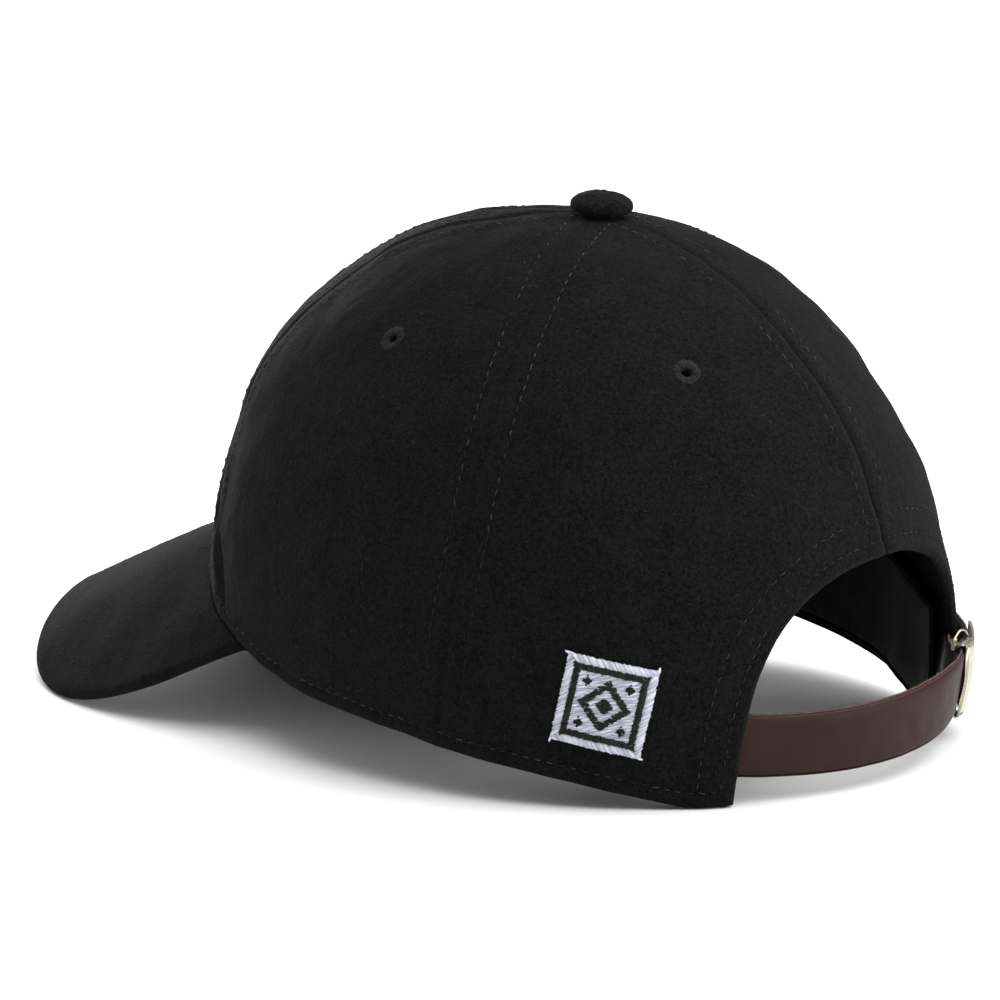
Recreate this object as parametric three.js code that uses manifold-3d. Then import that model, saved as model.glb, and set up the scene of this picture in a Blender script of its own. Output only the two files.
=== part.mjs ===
// Wool baseball cap: a six-panel crown with a curved bill, a covered top button, six sewn eyelets,
// a sweatband, and a leather strap that closes the arched back opening with a metal clasp.
// Millimetres, +Z up. The bill points to -Y and the strap is at +Y, so +X is the wearer's left.
// Places on the crown are given by a turn round the button axis, in degrees from the middle of the
// forehead towards +X, and by a fall down the meridian, from 0 under the button to 1 at the hem.
import * as THREE from "three";
import { mergeVertices } from "three/addons/utils/BufferGeometryUtils.js";
import Module from "manifold-3d";

const wasm = await Module();
wasm.setup();

// Crown
const crownHeight = 132.4;    // surface that the cap rests on, to the cloth under the button
const crownReach = 91;        // button axis to the hem line, straight back
const hemRise = 43;           // surface to the hem at the middle of the forehead
const wall = 2;               // melton wool and its backing
const seamGap = 0.3;          // between the edges of two panels
const clearance = 0.3;        // between two pieces that lie on each other
const buttonHoleRadius = 3.6; // where the panels meet under the button

// Sections of the crown, one for each turn. reach and crest are shares of crownReach, hem is a share
// of hemRise and belly one of crownHeight. reach and hem place the hem line, crest says how far the
// top stays flat and belly how far the side stays upright. lean is the inward slope at the hem,
// less than 0 where the side swells over it, and dip is the slope of the cloth under the button.
const sections = [
  { turn: 0, reach: 1.177, hem: 1, crest: 0.98, belly: 0.28, lean: 0.06, dip: -0.005 },
  { turn: 30, reach: 1.1, hem: 0.733, crest: 0.94, belly: 0.27, lean: 0, dip: 0.005 },
  { turn: 60, reach: 0.968, hem: 0.465, crest: 0.85, belly: 0.26, lean: -0.13, dip: 0.03 },
  { turn: 90, reach: 0.908, hem: 0.316, crest: 0.774, belly: 0.29, lean: -0.23, dip: 0.065 },
  { turn: 120, reach: 0.922, hem: 0.15, crest: 0.75, belly: 0.37, lean: -0.225, dip: 0.1 },
  { turn: 150, reach: 0.971, hem: -0.085, crest: 0.768, belly: 0.464, lean: -0.16, dip: 0.125 },
  { turn: 180, reach: 1.002, hem: -0.235, crest: 0.78, belly: 0.505, lean: -0.125, dip: 0.135 },
];

// Seams between the panels, as turns at the button and at the hem
const seams = {
  forehead: { top: 0, hem: 0 },
  temple: { top: 22, hem: 37 },
  ear: { top: 103.4, hem: 96.2 },
  nape: { top: 180, hem: 180 },
};

// Back opening
const openingHalfWidth = 48.5;
const openingHeight = 56;
const openingSideRoundness = 2.3; // powers of the arch's rounded outline
const openingCrownRoundness = 3;

// Bill
const billCornerTurn = 46.4;    // where the bill leaves the hem
const billReach = 56;           // forehead hem to the tip
const billRootHandle = 3;       // side edge's curve, leaving the hem
const billRootFlare = 10.5;     // degrees outwards from straight ahead
const billTipHandle = 87;       // half the width that the tip's curve aims at
const billThickness = 3.6;
const billEdgeRound = 1.2;
const billRootHeight = 43.3;    // top face at the middle of the forehead hem
const billPitch = 0.41;         // fall of the top face for each millimetre forwards, at the root
const billDroopRadius = 431;    // curve of the top face forwards
const billArchRootRadius = 62.8; // its curve from side to side, at the root
const billArchTipRadius = 54.6; // and at the tip

// Button
const buttonRadius = 8;
const buttonHeight = 5;
const buttonEdge = 1.1;
const buttonShankRadius = 2.8;
const buttonShankLength = 4;
const buttonTilt = 4;           // degrees backwards, as the cloth lies there

// Eyelets
const eyeletRadius = 3.6;
const eyeletHoleRadius = 1.2;
const eyeletNeckRadius = 1.9;
const eyeletCutRadius = 2.2;
const eyeletLip = 0.7;
const eyeletSlack = 0.25;       // more room between the lips for the cloth's curve
const eyeletPlaces = [
  { name: "front", turn: 11, fall: 0.4 },
  { name: "side", turn: 65.3, fall: 0.357 },
  { name: "back", turn: 145.6, fall: 0.362 },
];

// Sweatband
const bandHeight = 31;
const bandThickness = 1.2;
const bandHemInset = 1;
const bandEndTurn = 144;
const bandStepFar = 16;         // degrees before the strap's end where the band starts to stand clear
const bandStepNear = 3;         // and where it is clear of the strap

// Leather strap, which is sewn inside the left back panel and ends inside the right one
const strapWidth = 17.4;
const strapThickness = 1.8;
const strapHeight = 13.4;       // middle line at its lowest
const strapLowTurn = 171;
const strapEndTurn = 132;       // inside the left back panel
const strapTailTurn = 226;      // inside the right back panel
const strapRiseLeft = 4.6;      // middle line's rise from its lowest to the left end
const strapRiseRight = 8.6;     // and to the right end
const strapBow = 3.4;           // outwards at the clasp
const strapBowMargin = 4.5;     // degrees from the opening's feet to where the bow starts and ends

// Leather tab on the outside of the right back panel, and the clasp on its end
const tabThickness = 1.8;
const tabStartTurn = 206;
const tabEndTurn = 229;
const tabLift = 0.9;            // over the cloth at its free end
const claspStartTurn = 203.6;
const claspEndTurn = 215.2;
const claspThickness = 1;
const claspLoopTurn = 3;        // length of the loop round the strap, in degrees
const claspLipTurn = 0.7;       // from the plate's full height to the tab's end, in degrees
const claspBarTurn = 1.6;
const leverTurn = 4;
const leverInset = 1.6;
const leverThickness = 1;

// Square embroidered patch on the left back panel
const patchSide = 22.4;
const patchThickness = 0.7;
const patchTurn = 125.6;
const patchHeight = 27;
const patchTilt = 12.5;         // degrees downwards towards the back, along the hem

const wool = { color: 0x24242a, roughness: 0.95, metalness: 0 };
const wornWool = { color: 0x222227, roughness: 0.95, metalness: 0 };
const thread = { color: 0x34343a, roughness: 0.8, metalness: 0 };
const twill = { color: 0x141416, roughness: 0.9, metalness: 0 };
const leather = { color: 0x5a4343, roughness: 0.5, metalness: 0 };
const metal = { color: 0xb9b19a, roughness: 0.35, metalness: 1 };
const embroidery = { color: 0xd8d6e0, roughness: 0.7, metalness: 0 };

const radians = THREE.MathUtils.degToRad;
const degrees = THREE.MathUtils.radToDeg;
const { lerp, smoothstep } = THREE.MathUtils;

// A turn folded to 0..180, because the crown's sections are the same on its two sides.
function folded(turn) {
  const whole = THREE.MathUtils.euclideanModulo(turn, 360);
  return Math.min(whole, 360 - whole);
}

// The crown's section at a turn: a smooth curve through the table, mirrored at both its ends.
function sectionAt(turn) {
  const step = sections[1].turn - sections[0].turn;
  const last = sections.length - 1;
  const place = folded(turn) / step;
  const start = Math.min(Math.floor(place), last - 1);
  const t = place - start;
  const rows = [-1, 0, 1, 2].map((k) => {
    const row = Math.abs(start + k);
    return sections[row > last ? 2 * last - row : row];
  });
  const blend = (key) => {
    const [a, b, c, d] = rows.map((row) => row[key]);
    const rise = (c - a) / 2;
    const leave = (d - b) / 2;
    const far = c - b;
    return b + t * (rise + t * (3 * far - 2 * rise - leave + t * (rise + leave - 2 * far)));
  };
  return {
    reach: blend("reach") * crownReach,
    hem: blend("hem") * hemRise,
    crest: blend("crest") * crownReach,
    belly: blend("belly") * crownHeight,
    lean: blend("lean"),
    dip: blend("dip"),
  };
}

// A point of the crown's outer face: a cubic curve from the button down to the hem.
function crownPoint(turn, fall) {
  const s = sectionAt(turn);
  const up = 1 - fall;
  const weights = [up ** 3, 3 * up * up * fall, 3 * up * fall * fall, fall ** 3];
  const radii = [0, s.crest, s.reach - s.lean * s.belly, s.reach];
  const heights = [crownHeight, crownHeight - s.dip * s.crest, s.hem + s.belly, s.hem];
  const radius = weights.reduce((sum, w, i) => sum + w * radii[i], 0);
  const height = weights.reduce((sum, w, i) => sum + w * heights[i], 0);
  const angle = radians(turn);
  return new THREE.Vector3(radius * Math.sin(angle), -radius * Math.cos(angle), height);
}

function radiusOf(point) {
  return Math.hypot(point.x, point.y);
}

function crownNormal(turn, fall) {
  const step = 0.01;
  const down = crownPoint(turn, fall + step).sub(crownPoint(turn, fall - step));
  const along = crownPoint(turn + 1, fall).sub(crownPoint(turn - 1, fall));
  return down.cross(along).normalize();
}

// A point of the cloth at a depth under its outer face, or over the face where the depth is below 0.
function clothPoint(turn, fall, depth) {
  return crownPoint(turn, fall).addScaledVector(crownNormal(turn, fall), -depth);
}

// The value between low and high where a rising measure reaches a target.
function bisect(measure, target, low, high) {
  for (let i = 0; i < 40; i++) {
    const middle = (low + high) / 2;
    if (measure(middle) < target) low = middle;
    else high = middle;
  }
  return (low + high) / 2;
}

function fallAtHeight(turn, height) {
  return bisect((fall) => -crownPoint(turn, fall).z, -height, 0, 1.1);
}

function fallAtRadius(turn, radius) {
  return bisect((fall) => radiusOf(crownPoint(turn, fall)), radius, 0, 0.3);
}

// The hem stays on the surface that the cap rests on where the sections go below it.
function hemFall(turn) {
  return sectionAt(turn).hem >= 0 ? 1 : fallAtHeight(turn, 0);
}

function hemHeight(turn) {
  return Math.max(sectionAt(turn).hem, 0);
}

function seamTurn(seam, fall) {
  return lerp(seam.top, seam.hem, fall * fall);
}

// The turn and fall on the crown's back with a given half width and height.
function backPlace(halfWidth, height) {
  let radius = crownReach;
  let turn = 180;
  let fall = 1;
  for (let i = 0; i < 12; i++) {
    turn = 180 - degrees(Math.asin(halfWidth / radius));
    fall = fallAtHeight(turn, height);
    radius = radiusOf(crownPoint(turn, fall));
  }
  return { turn, fall };
}

// A place on the edge of the back opening, with share 0 at its foot and 1 at the nape seam.
function openingEdge(share) {
  const angle = (share * Math.PI) / 2;
  const halfWidth = openingHalfWidth * Math.max(Math.cos(angle), 0) ** (2 / openingSideRoundness);
  const height = openingHeight * Math.sin(angle) ** (2 / openingCrownRoundness);
  return backPlace(halfWidth, height);
}

// Steps from 0 to 1, both included.
function shares(count) {
  return Array.from({ length: count + 1 }, (_, i) => i / count);
}

function geometryOf(points, index) {
  const positions = points.flatMap((point) => point.toArray());
  return new THREE.BufferGeometry()
    .setAttribute("position", new THREE.Float32BufferAttribute(positions, 3))
    .setIndex(index);
}

// A closed body between an outer and an inner sheet of points, [row][column], rows going down and
// columns going with the turn. mirrored turns the faces round for a sheet on the other side.
function shellBetween(outer, inner, mirrored = false) {
  const rows = outer.length;
  const columns = outer[0].length;
  const id = (sheet, row, column) => (sheet * rows + row) * columns + column;
  const index = [];
  const quad = (a, b, c, d) => index.push(...(mirrored ? [a, c, b, a, d, c] : [a, b, c, a, c, d]));
  for (let r = 0; r + 1 < rows; r++) {
    for (let c = 0; c + 1 < columns; c++) {
      quad(id(0, r, c), id(0, r + 1, c), id(0, r + 1, c + 1), id(0, r, c + 1));
      quad(id(1, r, c), id(1, r, c + 1), id(1, r + 1, c + 1), id(1, r + 1, c));
    }
  }
  for (let c = 0; c + 1 < columns; c++) {
    const r = rows - 1;
    quad(id(0, 0, c), id(0, 0, c + 1), id(1, 0, c + 1), id(1, 0, c));
    quad(id(0, r, c), id(1, r, c), id(1, r, c + 1), id(0, r, c + 1));
  }
  for (let r = 0; r + 1 < rows; r++) {
    const c = columns - 1;
    quad(id(0, r, 0), id(1, r, 0), id(1, r + 1, 0), id(0, r + 1, 0));
    quad(id(0, r, c), id(0, r + 1, c), id(1, r + 1, c), id(1, r, c));
  }
  return geometryOf([...outer.flat(), ...inner.flat()], index);
}

function solidOf(geometry) {
  const bare = geometry.clone().deleteAttribute("normal").deleteAttribute("uv");
  const merged = mergeVertices(bare, 1e-4);
  return new wasm.Manifold(
    new wasm.Mesh({
      numProp: 3,
      vertProperties: new Float32Array(merged.attributes.position.array),
      triVerts: new Uint32Array(merged.index.array),
    }),
  );
}

function geometryFrom(solid) {
  const mesh = solid.getMesh();
  return new THREE.BufferGeometry()
    .setAttribute("position", new THREE.BufferAttribute(mesh.vertProperties, 3))
    .setIndex(new THREE.BufferAttribute(mesh.triVerts, 1));
}

function piece(name, geometry, look) {
  const mesh = new THREE.Mesh(geometry, new THREE.MeshStandardMaterial(look));
  mesh.name = name;
  return mesh;
}

// Crown panels

// A panel's lower edge, as places from its first seam to its last.
function hemLine(first, last, count) {
  return shares(count).map((share) => {
    const turn = lerp(first.hem, last.hem, share);
    return { turn, fall: hemFall(turn) };
  });
}

// The back panel's lower edge runs along the hem to the opening and then up its edge.
function backLine(hemCount, archCount) {
  const foot = openingEdge(0);
  const along = shares(hemCount).map((share) => {
    const turn = lerp(seams.ear.hem, foot.turn, share);
    return { turn, fall: hemFall(turn) };
  });
  const arch = shares(archCount).slice(1).map(openingEdge);
  return [...along, ...arch];
}

// A point of a panel, with half a seam's gap taken off its first and last columns.
function panelPoint(turn, fall, depth, column, lastColumn) {
  const middle = clothPoint(turn, fall, depth);
  const half = degrees(seamGap / 2 / radiusOf(middle));
  const shift = column === 0 ? half : column === lastColumn ? -half : 0;
  return clothPoint(turn + shift, fall, depth);
}

function mirroredPoint(point, side) {
  return new THREE.Vector3(point.x * side, point.y, point.z);
}

function panelGeometry(first, last, lowerEdge, rowCount, side) {
  const lastColumn = lowerEdge.length - 1;
  const sheet = (depth) =>
    shares(rowCount).map((down) =>
      lowerEdge.map((end, column) => {
        const topTurn = lerp(first.top, last.top, column / lastColumn);
        const topFall = fallAtRadius(topTurn, buttonHoleRadius);
        const fall = lerp(topFall, end.fall, down);
        const turn = lerp(topTurn, end.turn, (fall / end.fall) ** 2);
        const point = panelPoint(turn, fall, depth, column, lastColumn);
        if (down === 1 && end.fall >= hemFall(end.turn)) point.z = hemHeight(end.turn);
        return mirroredPoint(point, side);
      }),
    );
  return shellBetween(sheet(0), sheet(wall), side < 0);
}

// A tool along the cloth's normal, as wide as the hole for an eyelet.
function eyeletCutter(place, side) {
  const { point, facing } = eyeletSeat(place, side);
  const length = 6 * wall;
  const geometry = new THREE.CylinderGeometry(eyeletCutRadius, eyeletCutRadius, length, 20);
  geometry.applyQuaternion(new THREE.Quaternion().setFromUnitVectors(new THREE.Vector3(0, 1, 0), facing));
  geometry.translate(point.x, point.y, point.z);
  return solidOf(geometry);
}

function eyeletSeat(place, side) {
  const point = clothPoint(place.turn, place.fall, wall / 2);
  const facing = crownNormal(place.turn, place.fall);
  return { point: mirroredPoint(point, side), facing: mirroredPoint(facing, side) };
}

const panelKinds = [
  { name: "front", first: seams.forehead, last: seams.temple, lower: hemLine(seams.forehead, seams.temple, 8) },
  { name: "side", first: seams.temple, last: seams.ear, lower: hemLine(seams.temple, seams.ear, 12) },
  { name: "back", first: seams.ear, last: seams.nape, lower: backLine(8, 8) },
];
const panelRows = 15;
const sides = [
  { name: "left", sign: 1 },
  { name: "right", sign: -1 },
];

function crownPanel(kind, side) {
  const cloth = solidOf(panelGeometry(kind.first, kind.last, kind.lower, panelRows, side.sign));
  const place = eyeletPlaces.find((eyelet) => eyelet.name === kind.name);
  const cut = cloth.subtract(eyeletCutter(place, side.sign));
  return piece(`${kind.name}_${side.name}_panel`, geometryFrom(cut), wool);
}

// A sewn eyelet: a short sleeve through the cloth with a lip over each face.
function eyelet(place, side) {
  const neck = wall / 2 + clearance + eyeletSlack;
  const top = neck + eyeletLip;
  const profile = [
    [eyeletHoleRadius, -top],
    [eyeletRadius, -top],
    [eyeletRadius, -neck],
    [eyeletNeckRadius, -neck],
    [eyeletNeckRadius, neck],
    [eyeletRadius, neck],
    [eyeletRadius, top],
    [eyeletHoleRadius, top],
    [eyeletHoleRadius, -top],
  ].map(([radius, height]) => new THREE.Vector2(radius, height));
  const mesh = piece(`${place.name}_${side.name}_eyelet`, new THREE.LatheGeometry(profile, 16), thread);
  const { point, facing } = eyeletSeat(place, side.sign);
  mesh.position.copy(point);
  mesh.quaternion.setFromUnitVectors(new THREE.Vector3(0, 1, 0), facing);
  return mesh;
}

// The cloth-covered button, a low dome on a shank that passes between the panels.
function topButton() {
  const dome = shares(7).map((share) => {
    const angle = (share * Math.PI) / 2;
    const height = buttonEdge + (buttonHeight - buttonEdge) * Math.sin(angle);
    return new THREE.Vector2(buttonRadius * Math.cos(angle), height);
  });
  dome[dome.length - 1].x = 0;
  const profile = [
    new THREE.Vector2(0, -buttonShankLength),
    new THREE.Vector2(buttonShankRadius, -buttonShankLength),
    new THREE.Vector2(buttonShankRadius, 0),
    new THREE.Vector2(buttonRadius - buttonEdge / 2, 0),
    ...dome,
  ];
  const mesh = piece("top_button", new THREE.LatheGeometry(profile, 28), wornWool);
  mesh.position.set(0, 0, crownHeight + clearance);
  mesh.rotation.x = Math.PI / 2 - radians(buttonTilt);
  return mesh;
}

// Bill

// The top face of the bill: it falls forwards and arches over from side to side.
function billHeight(x, y) {
  const ahead = y + sectionAt(0).reach;
  const arch = lerp(1 / billArchRootRadius, 1 / billArchTipRadius, -ahead / billReach);
  return billRootHeight + billPitch * ahead - ahead ** 2 / (2 * billDroopRadius) - (arch * x * x) / 2;
}

function billNormal(x, y) {
  const step = 0.5;
  const slopeX = (billHeight(x + step, y) - billHeight(x - step, y)) / (2 * step);
  const slopeY = (billHeight(x, y + step) - billHeight(x, y - step)) / (2 * step);
  return new THREE.Vector3(-slopeX, -slopeY, 1).normalize();
}

// The bill's outer edge from above, from one corner round the tip to the other.
function billOutline(count) {
  const corner = crownPoint(billCornerTurn, 1);
  const flare = radians(billRootFlare);
  const tipY = -(sectionAt(0).reach + billReach);
  const half = new THREE.CubicBezierCurve(
    new THREE.Vector2(corner.x, corner.y),
    new THREE.Vector2(corner.x + billRootHandle * Math.sin(flare), corner.y - billRootHandle * Math.cos(flare)),
    new THREE.Vector2(billTipHandle, tipY),
    new THREE.Vector2(0, tipY),
  ).getSpacedPoints(count / 2);
  const other = half.slice(0, -1).reverse().map((point) => new THREE.Vector2(-point.x, point.y));
  return [...half, ...other];
}

function bill() {
  const columns = 28;
  const rowCount = 8;
  const edge = billOutline(columns);
  const sheet = (bodyDepth, edgeDepth) => {
    const lines = edge.map((end, column) => {
      const turn = lerp(billCornerTurn, -billCornerTurn, column / columns);
      const hem = crownPoint(turn, 1);
      const inside = 1 - (wall + clearance) / radiusOf(hem);
      const root = new THREE.Vector2(hem.x * inside, hem.y * inside);
      const seat = hemHeight(turn) - clearance - billHeight(hem.x, hem.y);
      const length = root.distanceTo(end);
      const lip = Math.min(wall + 2 * clearance, length / 2) / length;
      const stops = shares(rowCount).map((share) => lerp(lip, 1 - billEdgeRound / length, share));
      return [0, ...stops, 1].map((stop, row) => {
        const plan = root.clone().lerp(end, stop);
        const past = Math.max(0, (plan.length() - radiusOf(hem)) / billReach);
        const under = plan.length() < radiusOf(hem) ? hem : plan;
        const height = billHeight(under.x, under.y) + seat * Math.max(0, 1 - past * 2) ** 2;
        const depth = row > rowCount + 1 ? edgeDepth : bodyDepth;
        const point = new THREE.Vector3(plan.x, plan.y, height);
        return point.addScaledVector(billNormal(plan.x, plan.y), -depth);
      });
    });
    return lines[0].map((_, row) => lines.map((line) => line[row]));
  };
  const top = sheet(0, billThickness * 0.3);
  const underside = sheet(billThickness, billThickness * 0.7);
  return piece("bill", shellBetween(top, underside, true), wool);
}

// Bands that lie along the crown, such as the sweatband, the strap and the clasp's plates. Each takes
// a turn and gives its lower and upper height there, and the depths of its outer and inner face.
function bandGeometry(startTurn, endTurn, columns, rowCount, band) {
  const sheet = (face) =>
    shares(rowCount).map((down) =>
      shares(columns).map((share) => {
        const turn = lerp(startTurn, endTurn, share);
        const place = band(turn);
        const height = lerp(place.high, place.low, down);
        return clothPoint(turn, fallAtHeight(turn, height), place[face]);
      }),
    );
  return shellBetween(sheet("outer"), sheet("inner"));
}

const strapDepth = wall + clearance;

function sweatband() {
  const spread = strapThickness + clearance;
  const geometry = bandGeometry(-bandEndTurn, bandEndTurn, 56, 3, (turn) => {
    const aside = spread * smoothstep(Math.abs(turn), strapEndTurn - bandStepFar, strapEndTurn - bandStepNear);
    const low = hemHeight(turn) + bandHemInset;
    const outer = strapDepth + aside;
    return { low, high: low + bandHeight, outer, inner: outer + bandThickness };
  });
  return piece("sweatband", geometry, twill);
}

// The middle line of the strap and the tab rises towards both their ends.
function strapMiddle(turn) {
  const left = (strapLowTurn - turn) / (strapLowTurn - strapEndTurn);
  const right = (turn - strapLowTurn) / (strapTailTurn - strapLowTurn);
  return strapHeight + (turn < strapLowTurn ? strapRiseLeft * left ** 2 : strapRiseRight * right ** 2);
}

// The strap bows out of the opening up to the clasp, and dives there to go inside the right panel.
function strapOuterDepth(turn) {
  const margin = openingEdge(0).turn + strapBowMargin;
  const out = smoothstep(turn, margin, claspStartTurn);
  const dive = smoothstep(turn, claspStartTurn, 360 - margin);
  return strapDepth - strapBow * (out - dive);
}

function leatherStrap() {
  const geometry = bandGeometry(strapEndTurn, strapTailTurn, 46, 3, (turn) => {
    const middle = strapMiddle(turn);
    const outer = strapOuterDepth(turn);
    return {
      low: middle - strapWidth / 2,
      high: middle + strapWidth / 2,
      outer,
      inner: outer + strapThickness,
    };
  });
  return piece("back_strap", geometry, leather);
}

// The tab lies on the right back panel at its sewn end and stands off a little at its free end.
function tabInnerDepth(turn) {
  return -lerp(tabLift, clearance, smoothstep(turn, tabStartTurn, tabEndTurn));
}

function strapTab() {
  const geometry = bandGeometry(tabStartTurn, tabEndTurn, 14, 3, (turn) => {
    const middle = strapMiddle(turn);
    const inner = tabInnerDepth(turn);
    return {
      low: middle - strapWidth / 2,
      high: middle + strapWidth / 2,
      outer: inner - tabThickness,
      inner,
    };
  });
  return piece("strap_tab", geometry, leather);
}

// The clasp: a curved plate over the tab's end, with a loop that the strap passes through.
function claspBody() {
  const reach = strapWidth / 2 + clearance;
  const rim = reach + claspThickness;
  const loopEnd = claspStartTurn + claspLoopTurn;
  const lip = strapOuterDepth(claspStartTurn) - clearance;
  const plateInner = (turn) => {
    const over = smoothstep(turn, claspStartTurn, tabStartTurn - claspLipTurn);
    return lerp(lip, tabInnerDepth(Math.max(turn, tabStartTurn)) - tabThickness - clearance, over);
  };
  const backFace = (turn) => strapOuterDepth(turn) + strapThickness + clearance;
  const plate = bandGeometry(claspStartTurn, claspEndTurn, 14, 3, (turn) => ({
    low: strapMiddle(turn) - rim,
    high: strapMiddle(turn) + rim,
    outer: plateInner(turn) - claspThickness,
    inner: plateInner(turn),
  }));
  const flange = (sign) =>
    bandGeometry(claspStartTurn, loopEnd, 4, 1, (turn) => ({
      low: strapMiddle(turn) + (sign > 0 ? reach : -rim),
      high: strapMiddle(turn) + (sign > 0 ? rim : -reach),
      outer: plateInner(turn) - claspThickness / 2,
      inner: backFace(turn) + claspThickness,
    }));
  const bar = bandGeometry(claspStartTurn, claspStartTurn + claspBarTurn, 2, 3, (turn) => ({
    low: strapMiddle(turn) - (reach + rim) / 2,
    high: strapMiddle(turn) + (reach + rim) / 2,
    outer: backFace(turn),
    inner: backFace(turn) + claspThickness,
  }));
  const joined = solidOf(plate).add(solidOf(flange(1))).add(solidOf(flange(-1))).add(solidOf(bar));
  return piece("clasp_body", geometryFrom(joined), metal);
}

// The lever that presses the strap, closed, behind the loop's bar.
function claspLever() {
  const start = claspStartTurn + claspBarTurn + degrees(clearance / crownReach);
  const geometry = bandGeometry(start, start + leverTurn, 4, 3, (turn) => {
    const outer = strapOuterDepth(turn) + strapThickness + clearance;
    return {
      low: strapMiddle(turn) - strapWidth / 2 + leverInset,
      high: strapMiddle(turn) + strapWidth / 2 - leverInset,
      outer,
      inner: outer + leverThickness,
    };
  });
  return piece("clasp_lever", geometry, metal);
}

function sidePatch() {
  const tilt = radians(patchTilt);
  const radius = radiusOf(crownPoint(patchTurn, fallAtHeight(patchTurn, patchHeight)));
  const sheet = (depth) =>
    shares(6).map((down) =>
      shares(6).map((along) => {
        const a = (along - 0.5) * patchSide;
        const b = (0.5 - down) * patchSide;
        const turn = patchTurn + degrees((a * Math.cos(tilt) + b * Math.sin(tilt)) / radius);
        const height = patchHeight - a * Math.sin(tilt) + b * Math.cos(tilt);
        return clothPoint(turn, fallAtHeight(turn, height), depth);
      }),
    );
  return piece("side_patch", shellBetween(sheet(-clearance - patchThickness), sheet(-clearance)), embroidery);
}

// The cap, moved so that the middle of its base is at the origin
const cap = new THREE.Group();
const body = new THREE.Group();
for (const side of sides) {
  for (const kind of panelKinds) body.add(crownPanel(kind, side));
  for (const place of eyeletPlaces) body.add(eyelet(place, side));
}
body.add(topButton(), bill(), sweatband(), leatherStrap(), strapTab(), claspBody(), claspLever(), sidePatch());
const box = new THREE.Box3().setFromObject(body, true);
const middle = box.getCenter(new THREE.Vector3());
body.position.set(-middle.x, -middle.y, -box.min.z);
cap.add(body);

export default cap;
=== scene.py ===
"""Black wool baseball cap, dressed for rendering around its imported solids.

The cap stands on the floor with its bill towards -Y and its leather strap towards +Y, so +X is the
wearer's left. Lengths are millimetres here and become metres where a mesh is made. A place on the
crown is a turn round the button's axis, in degrees from the middle of the forehead towards +X, and
a fall down the meridian, from 0 under the button to 1 at the hem.
"""

import logging
import math
from collections.abc import Callable
from dataclasses import dataclass, field
from enum import Enum

import bpy
import numpy as np
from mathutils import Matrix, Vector


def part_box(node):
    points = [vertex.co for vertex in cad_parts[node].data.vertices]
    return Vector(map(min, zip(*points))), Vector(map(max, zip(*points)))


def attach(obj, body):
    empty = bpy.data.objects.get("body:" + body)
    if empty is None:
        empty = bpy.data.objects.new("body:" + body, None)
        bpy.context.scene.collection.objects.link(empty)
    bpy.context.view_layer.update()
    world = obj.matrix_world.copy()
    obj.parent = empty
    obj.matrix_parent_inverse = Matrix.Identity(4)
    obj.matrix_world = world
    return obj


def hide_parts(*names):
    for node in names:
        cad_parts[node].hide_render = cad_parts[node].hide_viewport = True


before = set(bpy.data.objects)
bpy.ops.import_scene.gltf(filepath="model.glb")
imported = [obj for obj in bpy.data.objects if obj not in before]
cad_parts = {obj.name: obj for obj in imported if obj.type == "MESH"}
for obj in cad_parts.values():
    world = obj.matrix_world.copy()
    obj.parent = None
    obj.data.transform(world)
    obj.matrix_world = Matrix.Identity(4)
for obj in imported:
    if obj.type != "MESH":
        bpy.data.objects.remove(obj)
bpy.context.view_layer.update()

METRE = 0.001
RIPPLE_WAVES = 14
Array = np.ndarray
Colour = tuple[float, float, float, float]
Pair = tuple[float, float]
log = logging.getLogger("cap")


# Small maths


def smooth(value: Array, low: float, high: float) -> Array:
    """A step from 0 at low to 1 at high with level ends: t squared times 3 - 2t."""
    share = np.clip((value - low) / (high - low), 0.0, 1.0)
    return share * share * (3.0 - 2.0 * share)


def bump(value: Array, middle: float, width: float) -> Array:
    """A bell of height 1: e to minus the square of the distance from the middle, in widths."""
    return np.exp(-(((value - middle) / width) ** 2))


def mix(start: Array, end: Array, share: Array) -> Array:
    """The value a share of the way from start to end."""
    return start + (end - start) * share


def unit(vectors: Array) -> Array:
    """The vectors at length 1."""
    return vectors / np.maximum(np.linalg.norm(vectors, axis=-1, keepdims=True), 1e-12)


def ripple(points: Array, wavelength: float, seed: int) -> Array:
    """Smooth random relief of about unit height.

    It is a sum of sine waves through space, in seeded directions and phases, with wavelengths from
    0.7 to 1.5 times the given one, divided by the root of half their number.

    Args:
        points: Places in space, with their coordinates last.
        wavelength: Usual length of a wave.
        seed: Seed of the directions and phases.

    Returns:
        One height for each point.
    """
    draw = np.random.default_rng(seed)
    ways = unit(draw.normal(size=(RIPPLE_WAVES, 3))) * (2 * np.pi / wavelength)
    ways = ways * draw.uniform(1 / 1.5, 1 / 0.7, size=(RIPPLE_WAVES, 1))
    phases = draw.uniform(0, 2 * np.pi, size=RIPPLE_WAVES)
    return np.sin(points @ ways.T + phases).sum(axis=-1) / math.sqrt(RIPPLE_WAVES / 2)


def ripples(points: Array, parts: tuple[tuple[float, float, int], ...]) -> Array:
    """A sum of ripples, each with its height, wavelength and seed."""
    return sum(height * ripple(points, wavelength, seed) for height, wavelength, seed in parts)


def along(points: Array) -> Array:
    """Length run along each line of points, the points being the axis before the last."""
    steps = np.linalg.norm(np.diff(points, axis=-2), axis=-1)
    return np.concatenate([np.zeros_like(steps[..., :1]), np.cumsum(steps, axis=-1)], axis=-1)


def sampled(places: Array, run: Array, values: Array) -> Array:
    """Values at chosen lengths of a line, each column read off by straight interpolation."""
    return np.stack([np.interp(places, run, column) for column in values.T], axis=-1)


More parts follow.
